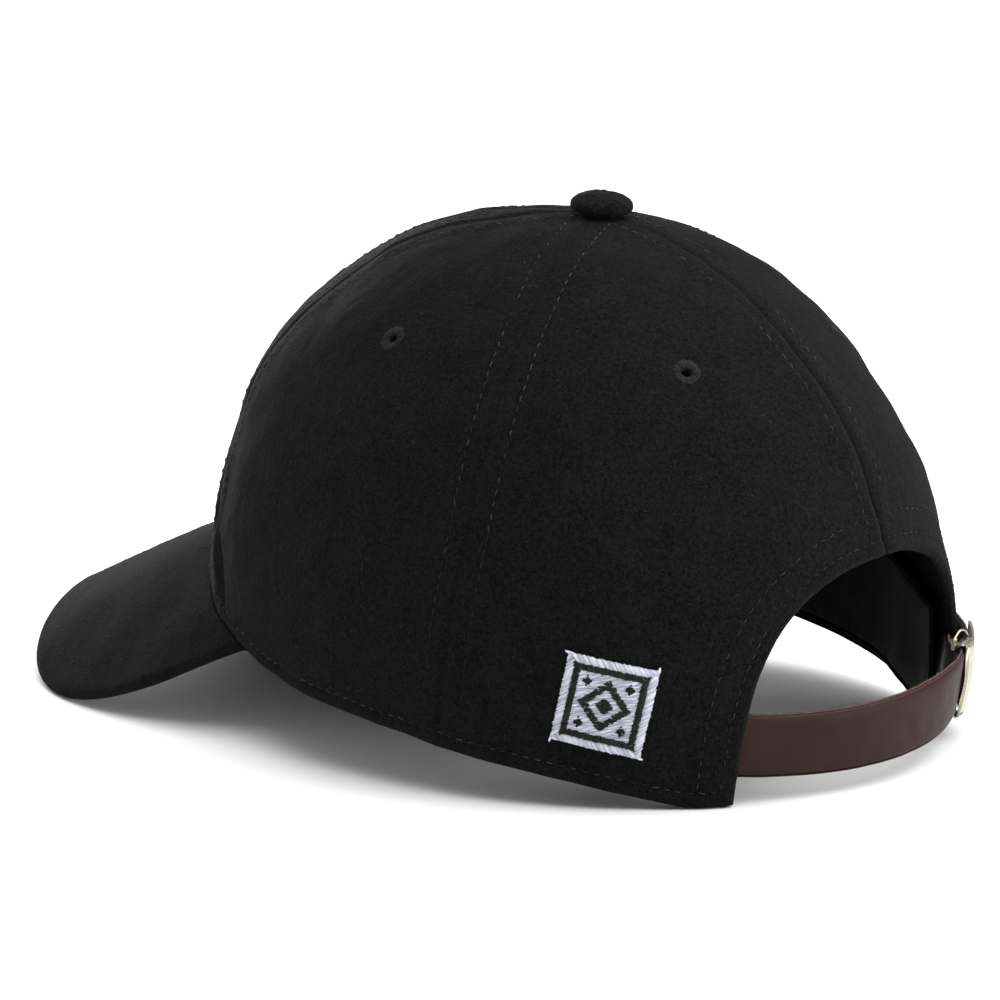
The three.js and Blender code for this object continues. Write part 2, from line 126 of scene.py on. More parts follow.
def nearest(points: Array, line: Array) -> tuple[Array, Array]:
    """Distance to a line of points and the length run along it there.

    The squared distance is the points' square plus the line's square less twice their product.

    Args:
        points: Places, with their coordinates last.
        line: Points of the line, close together.

    Returns:
        The distance from each place, and the length along the line to the nearest point.
    """
    flat = points.reshape(-1, 3)
    square = (flat**2).sum(1)[:, None] + (line**2).sum(1)[None] - 2 * flat @ line.T
    index = square.argmin(axis=1)
    away = np.sqrt(np.maximum(square[np.arange(len(flat)), index], 0.0))
    return away.reshape(points.shape[:-1]), along(line)[index].reshape(points.shape[:-1])


def from_axis(points: Array) -> Array:
    """Distance of points from the button's axis."""
    return np.hypot(points[..., 0], points[..., 1])


def mirrored(vectors: Array, sign: int) -> Array:
    """Points or directions on the side of the cap that the sign of X names."""
    return vectors * np.array([sign, 1.0, 1.0])


def rings(lines: Array, side: Array, up: Array, thick: Array, angle: Array) -> Array:
    """Rings round centre lines: each centre plus a circle in the side and up ways.

    Args:
        lines: Centres, as line, station along it and coordinate.
        side: Sideways directions there, as long as a ring is wide for its radius.
        up: Upward directions there, as long as a ring is tall for its radius.
        thick: Radius at each station.
        angle: Angles of a ring's points.

    Returns:
        Points as line, station, angle and coordinate.
    """
    ring = np.cos(angle)[:, None] * side[:, :, None] + np.sin(angle)[:, None] * up[:, :, None]
    return lines[:, :, None] + ring * thick[None, :, None, None]


# Meshes


class Body:
    """Points and faces of one piece, gathered as arrays in millimetres before they are a mesh."""

    def __init__(self, origin: Array) -> None:
        """Starts empty, with the button axis's place in the frame."""
        self.origin = origin
        self.points: list[Array] = []
        self.tones: list[Array] = []
        self.lays: list[Array] = []
        self.faces: list[Array] = []
        self.count = 0

    def add(self, points: Array, tone: Array | float = 0.0, lay: Array | None = None) -> Array:
        """Adds points.

        Args:
            points: Places about the button's axis, with their coordinates last.
            tone: The finish's own mask at each point, such as a cut edge or a thread's shade.
            lay: Millimetres along and across the piece at each point, for weave and grain.

        Returns:
            The points' numbers, in the shape of the points.
        """
        shape = points.shape[:-1]
        total = int(np.prod(shape))
        self.points.append(points.reshape(-1, 3))
        self.tones.append(np.broadcast_to(tone, shape).reshape(-1))
        self.lays.append(np.zeros((total, 2)) if lay is None else lay.reshape(-1, 2))
        numbers = np.arange(self.count, self.count + total).reshape(shape)
        self.count += total
        return numbers

    def face(self, *corners: Array) -> None:
        """Adds faces from arrays of their first, second, third and perhaps fourth corners."""
        self.faces.append(np.stack([np.ravel(c) for c in corners], axis=-1))

    def grid(self, ids: Array, keep: Array | None = None) -> None:
        """Adds the quads of a grid of points, or those that a mask keeps."""
        corners = [ids[:-1, :-1], ids[1:, :-1], ids[1:, 1:], ids[:-1, 1:]]
        self.face(*(corners if keep is None else [c[keep] for c in corners]))

    def strip(self, first: Array, second: Array) -> None:
        """Adds the quads between two lines of as many points."""
        self.grid(np.stack([first, second]))

    def seam(self, fine: Array, coarse: Array) -> None:
        """Joins a closed line of points to one with half as many, three triangles for each pair."""
        a, b, c = fine[:-1:2], fine[1::2], fine[2::2]
        d, e = coarse[:-1], coarse[1:]
        self.face(a, d, b)
        self.face(b, d, e)
        self.face(b, e, c)

    def fan(self, centre: Array, ring: Array) -> None:
        """Adds triangles from a centre to a closed ring, or from many centres to their rings."""
        first, second = ring[..., :-1], ring[..., 1:]
        self.face(np.broadcast_to(np.asarray(centre)[..., None], first.shape), first, second)

    def close(self, ids: Array, centres: tuple[Array, Array], tone: float) -> None:
        """Adds a grid whose rings close on themselves, and a fan over each end from its centre."""
        ids = np.concatenate([ids, ids[:, :1]], axis=1)
        self.grid(ids)
        self.fan(self.add(centres[0], tone), ids[0])
        self.fan(self.add(centres[1], tone), ids[-1][::-1])

    def tubes(self, points: Array, tone: Array, lay: Array | None = None) -> None:
        """Adds closed tubes.

        Args:
            points: Points as tube, ring along it, side round it, coordinate. A ring isn't repeated.
            tone: One tone for each tube.
            lay: Millimetres along and across at each point, or none.
        """
        shade = np.broadcast_to(tone[:, None, None], points.shape[:3])
        ids = self.add(points, shade, lay)
        ids = np.concatenate([ids, ids[:, :, :1]], axis=2)
        self.face(ids[:, :-1, :-1], ids[:, :-1, 1:], ids[:, 1:, 1:], ids[:, 1:, :-1])
        for end, turn in ((0, -1), (-1, 1)):
            centre = self.add(points[:, end].mean(axis=1), tone)
            self.fan(centre, ids[:, end][:, ::turn])

    def triangles(self) -> Array:
        """All faces as triangles."""
        parts = []
        for f in self.faces:
            parts.append(f[:, :3])
            if f.shape[1] == 4:
                parts.append(f[:, [0, 2, 3]])
        return np.concatenate(parts)

    def outward(self) -> None:
        """Turns all faces over if the signed volume, a sum of corner determinants, is negative."""
        corners = np.concatenate(self.points)[self.triangles()]
        a, b, c = corners[:, 0], corners[:, 1], corners[:, 2]
        if np.einsum("ij,ij->i", a, np.cross(b, c)).sum() < 0:
            self.faces = [f[:, ::-1] for f in self.faces]

    def mesh(self, name: str) -> bpy.types.Mesh:
        """Makes the mesh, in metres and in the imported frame, with its tone and lay attributes."""
        self.outward()
        points = (np.concatenate(self.points) + self.origin) * METRE
        sizes = np.concatenate([np.full(len(f), f.shape[1]) for f in self.faces])
        corners = np.concatenate([f.ravel() for f in self.faces])
        starts = np.concatenate([[0], np.cumsum(sizes)[:-1]])
        made = bpy.data.meshes.new(name)
        made.vertices.add(len(points))
        made.vertices.foreach_set("co", points.astype(np.float32).ravel())
        made.loops.add(len(corners))
        made.loops.foreach_set("vertex_index", corners.astype(np.int32))
        made.polygons.add(len(sizes))
        made.polygons.foreach_set("loop_start", starts.astype(np.int32))
        made.polygons.foreach_set("use_smooth", np.full(len(sizes), True))
        made.update(calc_edges=True)
        tone = made.attributes.new("tone", "FLOAT", "POINT")
        tone.data.foreach_set("value", np.concatenate(self.tones).astype(np.float32))
        lays = np.concatenate(self.lays) * METRE
        lay = made.attributes.new("lay", "FLOAT_VECTOR", "POINT")
        flat = np.concatenate([lays, np.zeros((len(lays), 1))], axis=1)
        lay.data.foreach_set("vector", flat.astype(np.float32).ravel())
        return made


def place(body: Body, name: str, finish: "Finish", replaces: tuple[str, ...] = ()) -> None:
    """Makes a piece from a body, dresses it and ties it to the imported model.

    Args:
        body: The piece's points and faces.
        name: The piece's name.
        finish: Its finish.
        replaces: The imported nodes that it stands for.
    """
    piece = bpy.data.objects.new(name, body.mesh(name))
    bpy.context.scene.collection.objects.link(piece)
    piece.data.materials.append(finish.material())
    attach(piece, "root")
    if replaces:
        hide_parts(*replaces)
    log.info("%s: %d triangles", name, len(body.triangles()))


# Shader graphs


def socket_of(sockets: bpy.types.bpy_prop_collection, name: str | int) -> bpy.types.NodeSocket:
    """The socket of a number, or of a name: the one in use where several share it."""
    if isinstance(name, int):
        return sockets[name]
    return next(socket for socket in sockets if socket.name == name and socket.enabled)


class Wire:
    """An output socket that adds Math nodes when values are worked out with it."""

    def __init__(self, graph: "Graph", socket: bpy.types.NodeSocket) -> None:
        """Wraps one socket of a graph."""
        self.graph = graph
        self.socket = socket

    def _maths(self, operation: str, *values: object) -> "Wire":
        """One Math node on these values or wires."""
        inputs = dict(enumerate(values))
        return self.graph.node("ShaderNodeMath", {"operation": operation}, inputs)["Value"]

    def __add__(self, other: object) -> "Wire":
        """Sum."""
        return self._maths("ADD", self, other)

    def __sub__(self, other: object) -> "Wire":
        """Difference."""
        return self._maths("SUBTRACT", self, other)

    def __mul__(self, other: object) -> "Wire":
        """Product."""
        return self._maths("MULTIPLY", self, other)

    def __rsub__(self, other: object) -> "Wire":
        """Difference, with this value taken away."""
        return self._maths("SUBTRACT", other, self)

    __radd__ = __add__
    __rmul__ = __mul__

    def sine(self) -> "Wire":
        """Sine of the value."""
        return self._maths("SINE", self)

    def size(self) -> "Wire":
        """The value without its sign."""
        return self._maths("ABSOLUTE", self)

    def between(self, low: float, high: float) -> "Wire":
        """A smooth step of the value, 0 at low and 1 at high."""
        settings = {"interpolation_type": "SMOOTHSTEP"}
        inputs = {"Value": self, "From Min": low, "From Max": high}
        return self.graph.node("ShaderNodeMapRange", settings, inputs)["Result"]


class Outputs:
    """A node whose outputs are read as wires by name."""

    def __init__(self, graph: "Graph", node: bpy.types.Node) -> None:
        """Wraps one node."""
        self.graph = graph
        self.node = node

    def __getitem__(self, name: str) -> Wire:
        """The output of that name."""
        return Wire(self.graph, socket_of(self.node.outputs, name))


class Graph:
    """The node tree of one material."""

    def __init__(self, name: str) -> None:
        """Makes a material with an empty node tree."""
        self.material = bpy.data.materials.new(name)
        self.material.use_nodes = True
        self.tree = self.material.node_tree
        self.tree.nodes.clear()

    def node(self, kind: str, settings: dict | None = None, inputs: dict | None = None) -> Outputs:
        """Adds a node.

        Args:
            kind: The node's type.
            settings: Its own properties, set before its sockets.
            inputs: Values or wires for its sockets, by name or number.

        Returns:
            The node's outputs.
        """
        made = self.tree.nodes.new(kind)
        for key, value in (settings or {}).items():
            setattr(made, key, value)
        for key, value in (inputs or {}).items():
            socket = socket_of(made.inputs, key)
            if isinstance(value, Wire):
                self.tree.links.new(value.socket, socket)
            else:
                socket.default_value = value
        return Outputs(self, made)

    def places(self) -> Wire:
        """Object coordinates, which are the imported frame's metres."""
        return self.node("ShaderNodeTexCoord")["Object"]

    def attribute(self, name: str, output: str) -> Wire:
        """A point attribute of the piece."""
        return self.node("ShaderNodeAttribute", {"attribute_name": name}, {})[output]

    def noise(self, size: float, detail: float = 2.0, twist: float = 0.0, at: Wire | None = None) -> Wire:
        """Noise with features of a size in millimetres."""
        inputs = {"Vector": at or self.places(), "Scale": 1 / (size * METRE)}
        inputs |= {"Detail": detail, "Distortion": twist}
        return self.node("ShaderNodeTexNoise", {}, inputs)["Fac"]

    def colour(self, first: object, second: object, share: Wire) -> Wire:
        """A colour a share of the way from the first to the second."""
        inputs = {"Factor": share, "A": first, "B": second}
        return self.node("ShaderNodeMix", {"data_type": "RGBA"}, inputs)["Result"]

    def stretch(self, vector: Wire, scale: tuple[float, float, float]) -> Wire:
        """A vector multiplied part by part."""
        settings = {"operation": "MULTIPLY"}
        return self.node("ShaderNodeVectorMath", settings, {0: vector, 1: scale})["Vector"]

    def relief(self, height: Wire, depth: float, strength: float = 1.0) -> Wire:
        """A normal bumped by a height of a depth in millimetres."""
        inputs = {"Height": height, "Distance": depth * METRE, "Strength": strength}
        return self.node("ShaderNodeBump", {}, inputs)["Normal"]

    def ribs(self, width: float) -> Wire:
        """Slanting ribs of a width in millimetres over the piece's lay, from 0 to 1."""
        parts = self.node("ShaderNodeSeparateXYZ", {}, {"Vector": self.attribute("lay", "Vector")})
        turns = 2 * math.pi / (width * METRE)
        return ((parts["X"] + parts["Y"]) * turns).sine() * 0.5 + 0.5

    def surface(self, base: object, rough: object, shine: float, **more: object) -> bpy.types.Material:
        """Ends the tree with a Principled shader and gives the material.

        Args:
            base: Its base colour.
            rough: Its roughness.
            shine: Its specular level.
            more: Its other inputs, with underscores for the spaces in their names.

        Returns:
            The graph's material.
        """
        inputs = {"Base Color": base, "Roughness": rough, "Specular IOR Level": shine}
        inputs |= {name.replace("_", " "): value for name, value in more.items()}
        shader = self.node("ShaderNodeBsdfPrincipled", {}, inputs)
        self.node("ShaderNodeOutputMaterial", {}, {"Surface": shader["BSDF"]})
        return self.material


def grey(level: float, warmth: float = 0.0) -> Colour:
    """A linear colour near grey, with the red raised and the blue lowered by a warmth."""
    return (level * (1 + warmth), level, level * (1 - warmth), 1.0)


class Finish:
    """A material that is made once and shared by the pieces that wear it."""

    slot = ""
    name = ""
    made: dict[str, bpy.types.Material] = {}

    def material(self) -> bpy.types.Material:
        """The material, made the first time that it is asked for."""
        if self.name not in Finish.made:
            Finish.made[self.name] = self.build(Graph(self.name))
        return Finish.made[self.name]

    def build(self, graph: Graph) -> bpy.types.Material:
        """Builds the node tree."""
        raise NotImplementedError


@dataclass(frozen=True)
class MeltonWool(Finish):
    """Felted black wool: matted grain, soft mottling, short curled fibres and a faint sheen."""

    name: str = "melton_wool"
    slot: str = "wool"
    dark: float = 0.0016
    light: float = 0.0078
    fibre: float = 0.034
    sheen: float = 0.014

    def curls(self, graph: Graph, size: float, wide: float, gate: float) -> Wire:
        """Short curled lines: where a noise crosses one half, kept where another noise is high."""
        line = (graph.noise(size, 1.0, 0.6) - 0.5).size().between(wide, 0.0)
        return line * graph.noise(size * 1.3, 1.0, 0.3).between(gate, gate + 0.1)

    def build(self, graph: Graph) -> bpy.types.Material:
        """Mottled colour with pale curled fibres, over a relief of matted grain."""
        grain = graph.noise(0.5, 3.0, 0.3)
        clump = graph.noise(1.1, 2.0, 0.4)
        blotch = graph.noise(11.0, 3.0)
        shade = (grain * 0.6 + clump * 0.4 + blotch * 0.15).between(0.4, 0.72)
        cloth = graph.colour(grey(self.dark, -0.02), grey(self.light, -0.02), shade)
        curls = self.curls(graph, 1.7, 0.022, 0.56) + self.curls(graph, 0.95, 0.03, 0.6) * 0.6
        base = graph.colour(cloth, grey(self.fibre, -0.01), curls * 0.3)
        normal = graph.relief(grain * 0.8 + clump * 0.7 + curls * 0.25, 0.5, 0.9)
        sheen = {"Sheen_Weight": self.sheen, "Sheen_Roughness": 0.5}
        return graph.surface(base, 0.95, 0.05, Normal=normal, **sheen)


@dataclass(frozen=True)
class Twill(Finish):
    """Black cotton twill with a fine diagonal rib, read from the piece's lay."""

    name: str = "cotton_twill"
    slot: str = "cotton_twill"
    dark: float = 0.0025
    light: float = 0.007
    rib: float = 0.9

    def build(self, graph: Graph) -> bpy.types.Material:
        """Diagonal ribs, broken by yarn noise."""
        wave = graph.ribs(self.rib)
        yarn = graph.noise(0.5, 2.0)
        shade = (wave * 0.6 + yarn * 0.5).between(0.25, 0.85)
        base = graph.colour(grey(self.dark), grey(self.light), shade)
        normal = graph.relief(wave * 0.7 + yarn * 0.3, 0.18, 0.7)
        return graph.surface(base, 0.85, 0.25, Normal=normal, Sheen_Weight=0.02)


@dataclass(frozen=True)
class Leather(Finish):
    """Brown leather with a fine pebble and paler cut edges, which tone marks; along the upper edge the pale
    also covers the rounded corners as a painted highlight.
    """

    name: str = "brown_leather"
    slot: str = "leather"
    dark: Colour = (0.0200, 0.0070, 0.0076, 1.0)
    light: Colour = (0.0260, 0.0095, 0.0100, 1.0)
    # pale colour of the cut edges, also painted on the upper rounded corners as a highlight
    cut_edge_and_highlight: Colour = (0.15, 0.095, 0.09, 1.0)
    pebble: float = 0.7

    def build(self, graph: Graph) -> bpy.types.Material:
        """Mottled brown under a pebbled, half-gloss skin, and fibrous pale edges, partly a painted highlight
        along the upper edge.
        """
        cells = graph.node(
            "ShaderNodeTexVoronoi",
            {"feature": "SMOOTH_F1"},
            {"Vector": graph.places(), "Scale": 1 / (self.pebble * METRE), "Smoothness": 0.6},
        )["Distance"]
        pores = graph.noise(0.45, 3.0, 0.6)
        blotch = graph.noise(9.0, 3.0)
        shade = (blotch * 0.8 + pores * 0.35 - cells * 0.1).between(0.3, 0.8)
        face = graph.colour(self.dark, self.light, shade)
        # tone mask: the cut edges, and along the upper edge also the rounded corners, where the pale is a
        # painted highlight
        edge = graph.attribute("tone", "Fac").between(0.25, 0.8)
        fading = graph.noise(1.2, 2.0).between(0.25, 0.6)
        base = graph.colour(face, self.cut_edge_and_highlight, edge * (0.55 + fading * 0.45))
        rough = 0.44 + pores * 0.14 + edge * 0.3
        return graph.surface(base, rough, 0.11, Normal=graph.relief(cells * 0.7 + pores * 0.5, 0.09, 0.5))


@dataclass(frozen=True)
class PaleMetal(Finish):
    """Plated metal, pale gold, brushed along its length with small scuffs."""

    name: str = "pale_metal"
    slot: str = "clasp_metal"
    bright: Colour = (0.55, 0.51, 0.41, 1.0)
    dull: Colour = (0.40, 0.36, 0.27, 1.0)
    gloss: float = 0.28

    def build(self, graph: Graph) -> bpy.types.Material:
        """Brushed streaks in the gloss and colour, and a faint relief."""
        fine = graph.stretch(graph.places(), (1.0, 1.0, 9.0))
        streaks = graph.noise(1.6, 3.0, 0.2, fine)
        scuffs = graph.noise(2.2, 4.0, 1.0)
        shade = (streaks * 0.8 + scuffs * 0.2).between(0.3, 0.85)
        base = graph.colour(self.bright, self.dull, shade)
        rough = self.gloss + streaks * 0.14 + scuffs.between(0.6, 0.8) * 0.06
        return graph.surface(base, rough, 0.5, Normal=graph.relief(streaks, 0.03, 0.35), Metallic=1.0)


@dataclass(frozen=True)
class Thread(Finish):
    """Spun sewing thread, whose tone shades each stitch and whose lay turns its plies."""

    name: str = "grey_thread"
    slot: str = "wool"
    dark: Colour = grey(0.004)
    light: Colour = grey(0.07)
    ply: float = 0.35
    gloss: float = 0.7

    def build(self, graph: Graph) -> bpy.types.Material:
        """A colour between two greys by tone, with slanting plies in relief."""
        plies = graph.ribs(self.ply)
        fluff = graph.noise(0.3, 2.0)
        tone = graph.attribute("tone", "Fac")
        shade = (tone * 0.8 + plies * 0.15 + fluff * 0.25 - 0.12).between(0.0, 1.0)
        normal = graph.relief(plies + fluff * 0.4, 0.08, 0.6)
        base = graph.colour(self.dark, self.light, shade)
        return graph.surface(base, self.gloss, 0.1, Normal=normal, Sheen_Weight=0.01)


def eyelet_thread() -> Thread:
    """Charcoal thread of the sewn eyelets."""
    return Thread("eyelet_thread", "eyelet_thread", grey(0.005), grey(0.021))


def sunk_thread() -> Thread:
    """Black thread of the rows that sink into the bill and the band."""
    return Thread("black_thread", "wool", grey(0.003), grey(0.0075))


def pale_thread() -> Thread:
    """Glossy white thread of the patch."""
    return Thread("pale_thread", "embroidery", (0.30, 0.31, 0.39, 1), (0.72, 0.73, 0.82, 1), 0.3, 0.5)


def dark_thread() -> Thread:
    """Glossy black thread of the patch."""
    return Thread("dark_thread", "embroidery", grey(0.008), grey(0.022), 0.3, 0.5)


# The crown's form


@dataclass(frozen=True)
class Seam:
    """A seam between two panels, as its turn at the button and at the hem."""

    top: float
    hem: float

    def turn(self, fall: Array) -> Array:
        """Its turn at a fall: from the top's to the hem's by the square of the fall."""
        return mix(self.top, self.hem, fall * fall)


FOREHEAD, TEMPLE, EAR, NAPE = Seam(0, 0), Seam(22, 37), Seam(103.4, 96.2), Seam(180, 180)
SEAMS = (FOREHEAD, TEMPLE, EAR, NAPE)


@dataclass(frozen=True)
class CrownForm:
    """The plain outer face of the crown, from the sections that its solids are made from."""

    height: float = 132.4
    reach: float = 91.0
    hem_rise: float = 43.0
    wall: float = 2.0
    clearance: float = 0.3
    button_hole: float = 3.6
    opening_half_width: float = 48.5
    opening_height: float = 56.0
    side_roundness: float = 2.3
    top_roundness: float = 3.0
    step: float = 30.0

    @property
    def sections(self) -> Array:
        """Reach, hem, crest, belly, lean and dip, as shares, for each step of turn."""
        return np.array(
            [
                [1.177, 1.0, 0.98, 0.28, 0.06, -0.005],
                [1.1, 0.733, 0.94, 0.27, 0.0, 0.005],
                [0.968, 0.465, 0.85, 0.26, -0.13, 0.03],
                [0.908, 0.316, 0.774, 0.29, -0.23, 0.065],
                [0.922, 0.15, 0.75, 0.37, -0.225, 0.1],
                [0.971, -0.085, 0.768, 0.464, -0.16, 0.125],
                [1.002, -0.235, 0.78, 0.505, -0.125, 0.135],
            ]
        )

    def section(self, turn: Array) -> list[Array]:
        """The section at a turn: a Catmull-Rom curve through the table, mirrored at its ends."""
        table = self.sections
        last = len(table) - 1
        whole = np.mod(turn, 360.0)
        rung = np.minimum(whole, 360.0 - whole) / self.step
        start = np.minimum(np.floor(rung), last - 1).astype(int)
        t = (rung - start)[..., None]
        before, here, after, beyond = (
            table[np.where(abs(start + k) > last, 2 * last - start - k, abs(start + k))]
            for k in (-1, 0, 1, 2)
        )
        rise, leave, far = (after - before) / 2, (beyond - here) / 2, after - here
        rows = here + t * (rise + t * (3 * far - 2 * rise - leave + t * (rise + leave - 2 * far)))
        scale = np.array([self.reach, self.hem_rise, self.reach, self.height, 1.0, 1.0])
        return list(np.moveaxis(rows * scale, -1, 0))

    def point(self, turn: Array, fall: Array) -> Array:
        """Outer face: a cubic Bezier curve from the button to the hem, turned round the axis."""
        turn, fall = np.broadcast_arrays(np.asarray(turn, float), np.asarray(fall, float))
        reach, hem, crest, belly, lean, dip = self.section(turn)
        up = 1 - fall
        a, b, c, d = up**3, 3 * up * up * fall, 3 * up * fall * fall, fall**3
        radius = b * crest + c * (reach - lean * belly) + d * reach
        height = a * self.height + b * (self.height - dip * crest) + c * (hem + belly) + d * hem
        angle = np.radians(turn)
        return np.stack([radius * np.sin(angle), -radius * np.cos(angle), height], axis=-1)

    def normal(self, turn: Array, fall: Array) -> Array:
        """Outward direction: the way down the meridian crossed with the way along the turn."""
        turn, fall = np.asarray(turn, float), np.asarray(fall, float)
        down = self.point(turn, fall + 0.01) - self.point(turn, fall - 0.01)
        onward = self.point(turn + 1, fall) - self.point(turn - 1, fall)
        return unit(np.cross(down, onward))

    def under(self, turn: Array, fall: Array, depth: Array) -> Array:
        """A point at a depth under the outer face, or over it where the depth is negative."""
        return self.point(turn, fall) - self.normal(turn, fall) * np.asarray(depth)[..., None]

    def search(self, measure: Callable[[Array], Array], goal: Array, high: float) -> Array:
        """The fall, up to a highest one, at which a rising measure of it reaches a goal."""
        low = np.zeros_like(goal)
        top = np.full_like(goal, high)
        for _ in range(36):
            middle = (low + top) / 2
            short = measure(middle) < goal
            low, top = np.where(short, middle, low), np.where(short, top, middle)
        return (low + top) / 2

    def fall_at_height(self, turn: Array, height: Array) -> Array:
        """The fall where a meridian comes down to a height."""
        turn, height = np.broadcast_arrays(np.asarray(turn, float), np.asarray(height, float))
        return self.search(lambda fall: -self.point(turn, fall)[..., 2], -height, 1.1)

    def fall_at_radius(self, turn: Array, radius: float) -> Array:
        """The fall near the top where a meridian reaches a distance from the axis."""
        turn = np.asarray(turn, float)
        goal = np.full_like(turn, radius)
        return self.search(lambda fall: from_axis(self.point(turn, fall)), goal, 0.3)

    def hem_height(self, turn: Array) -> Array:
        """Height of the hem, which stays on the floor where the sections go below it."""
        return np.maximum(self.section(np.asarray(turn, float))[1], 0.0)

    def hem_fall(self, turn: Array) -> Array:
        """Fall of the hem line."""
        turn = np.asarray(turn, float)
        on_floor = self.fall_at_height(turn, np.zeros_like(turn))
        return np.where(self.section(turn)[1] >= 0, 1.0, on_floor)

    def opening(self, share: Array) -> tuple[Array, Array]:
        """Turn and fall on the back opening's edge, 0 at its foot and 1 at the nape.

        The half width goes with a power of the cosine and the height with one of the sine of a
        quarter turn, and the turn is settled by repeating radius and arc sine.
        """
        angle = np.asarray(share, float) * np.pi / 2
        half = self.opening_half_width * np.maximum(np.cos(angle), 0) ** (2 / self.side_roundness)
        height = self.opening_height * np.sin(angle) ** (2 / self.top_roundness)
        radius = np.full_like(angle, self.reach)
        for _ in range(12):
            turn = 180 - np.degrees(np.arcsin(half / radius))
            fall = self.fall_at_height(turn, height)
            radius = from_axis(self.point(turn, fall))
        return turn, fall

    def place_of(self, points: Array) -> tuple[Array, Array]:
        """Turn and fall of points on the crown's sides, from their direction and height."""
        turn = np.degrees(np.arctan2(points[..., 0], -points[..., 1]))
        return turn, self.fall_at_height(turn, points[..., 2])


WAVES = ((0.4, 52.0, 4), (0.1, 17.0, 9), (0.03, 6.5, 12))   # height, length and seed
FOLD_LINE = ((0.78, 0.83, 0.87, 0.95, 1.0), (31.0, 35.6, 37.6, 38.9, 37.5))     # falls and turns


@dataclass
class Cloth:
    """The crown's cloth face: the plain form with its seams, rows of stitching, hem and folds."""

    form: CrownForm
    row_away: float = 5.3       # seam to its twin rows
    hem_row: float = 4.3        # hem to its row
    arch_rows: Pair = (4.0, 10.0)
    pitch: float = 3.0          # stitch to stitch
    crease: float = 0.22        # depth of a seam's crease
    ridge: float = 0.3          # lift over a seam's allowance
    row_sink: float = 0.22      # depth of a row beside a seam
    edge_sink: float = 0.36     # depth of a row beside an edge
    hem_lift: float = 0.25      # lift of the folded cloth at the hem
    arch_lift: float = 0.5      # the same at the opening
    dent: float = 1.15          # depth of the fold over the bill's corner
    swell: float = 0.45         # height of the ridge beside that fold
    arch: Array = field(init=False)

    def __post_init__(self) -> None:
        """Works out the opening's edge once."""
        self.arch = self.form.point(*self.form.opening(np.linspace(0, 1, 700)))

    def seam_relief(self, away: Array, run: Array) -> Array:
        """Height beside a seam: a soft crease, the allowance's ridge and the sunk row."""
        crease = -self.crease * bump(away, 0, 0.95)
        ridge = self.ridge * (smooth(away, 0.2, 2.2) - smooth(away, self.row_away - 0.4, self.row_away + 3.4))
        pull = 0.62 + 0.38 * np.cos(2 * np.pi * run / self.pitch)
        row = -self.row_sink * bump(away, self.row_away, 0.75) * pull
        return crease + ridge + row

    def fold(self, side_turn: Array, fall: Array, radius: Array) -> Array:
        """A soft fold beside the temple seam, over the bill's corner: a dent and a low ridge."""
        line = np.interp(fall, *FOLD_LINE)
        aside = np.radians(side_turn - line) * radius
        depth = self.swell * bump(aside, -5.5, 2.4) - self.dent * bump(aside, 0.0, 2.5)
        return depth * smooth(fall, 0.77, 0.87) * (1 - smooth(fall, 0.95, 0.985))

    def edge_relief(self, away: Array, run: Array, rows: tuple[float, ...], lift: float) -> Array:
        """Height beside a folded edge: the edge's roll, the double cloth's lift and its rows."""
        roll = -0.9 * (1 - np.sqrt(1 - np.clip(1 - away / 1.3, 0, 1) ** 2))
        last = rows[-1]
        band = lift * (smooth(away, 0.0, 1.5) - smooth(away, last + 0.3, last + 2.6))
        pull = 0.6 + 0.4 * np.cos(2 * np.pi * run / self.pitch)
        sunk = sum(-self.edge_sink * bump(away, row, 0.8) * pull for row in rows)
        return roll + band + sunk

    def waves(self, points: Array) -> Array:
        """Broad, shallow unevenness of the soft cloth."""
        return ripples(points, WAVES)

    def relief(self, turn: Array, fall: Array) -> Array:
        """Height of the cloth over the plain form, summed over its seams, hem, arch and waves."""
        form = self.form
        points = form.point(turn, fall)
        whole = np.mod(turn, 360.0)
        side_turn = np.minimum(whole, 360.0 - whole)
        radius = from_axis(points)
        run = form.height * 1.28 * fall
        spread = smooth(radius, 5.0, 24.0)
        total = self.waves(points) * smooth(radius, 4.0, 30.0)
        hem = form.point(turn, form.hem_fall(turn))
        above = np.linalg.norm(points - hem, axis=-1)
        share = (0.3 + 0.7 * spread) * smooth(above, 0.5, 4.0)
        for seam in SEAMS:
            away = np.radians(np.abs(side_turn - seam.turn(fall))) * radius
            total = total + self.seam_relief(away, run) * share
        sideways = np.radians(side_turn) * radius
        total = total + self.edge_relief(above, sideways, (self.hem_row,), self.hem_lift)
        total = total + self.fold(side_turn, fall, radius)
        near = (side_turn > 125) & (points[..., 2] < form.opening_height + 16)
        if near.any():
            folded = points[near]
            folded[:, 0] = np.abs(folded[:, 0])
            away, length = nearest(folded, self.arch)
            total[near] += self.edge_relief(away, length, self.arch_rows, self.arch_lift)
        return total

    def face(self, turn: Array, fall: Array) -> Array:
        """The cloth's face."""
        return self.form.under(turn, fall, -self.relief(turn, fall))


# Stitching


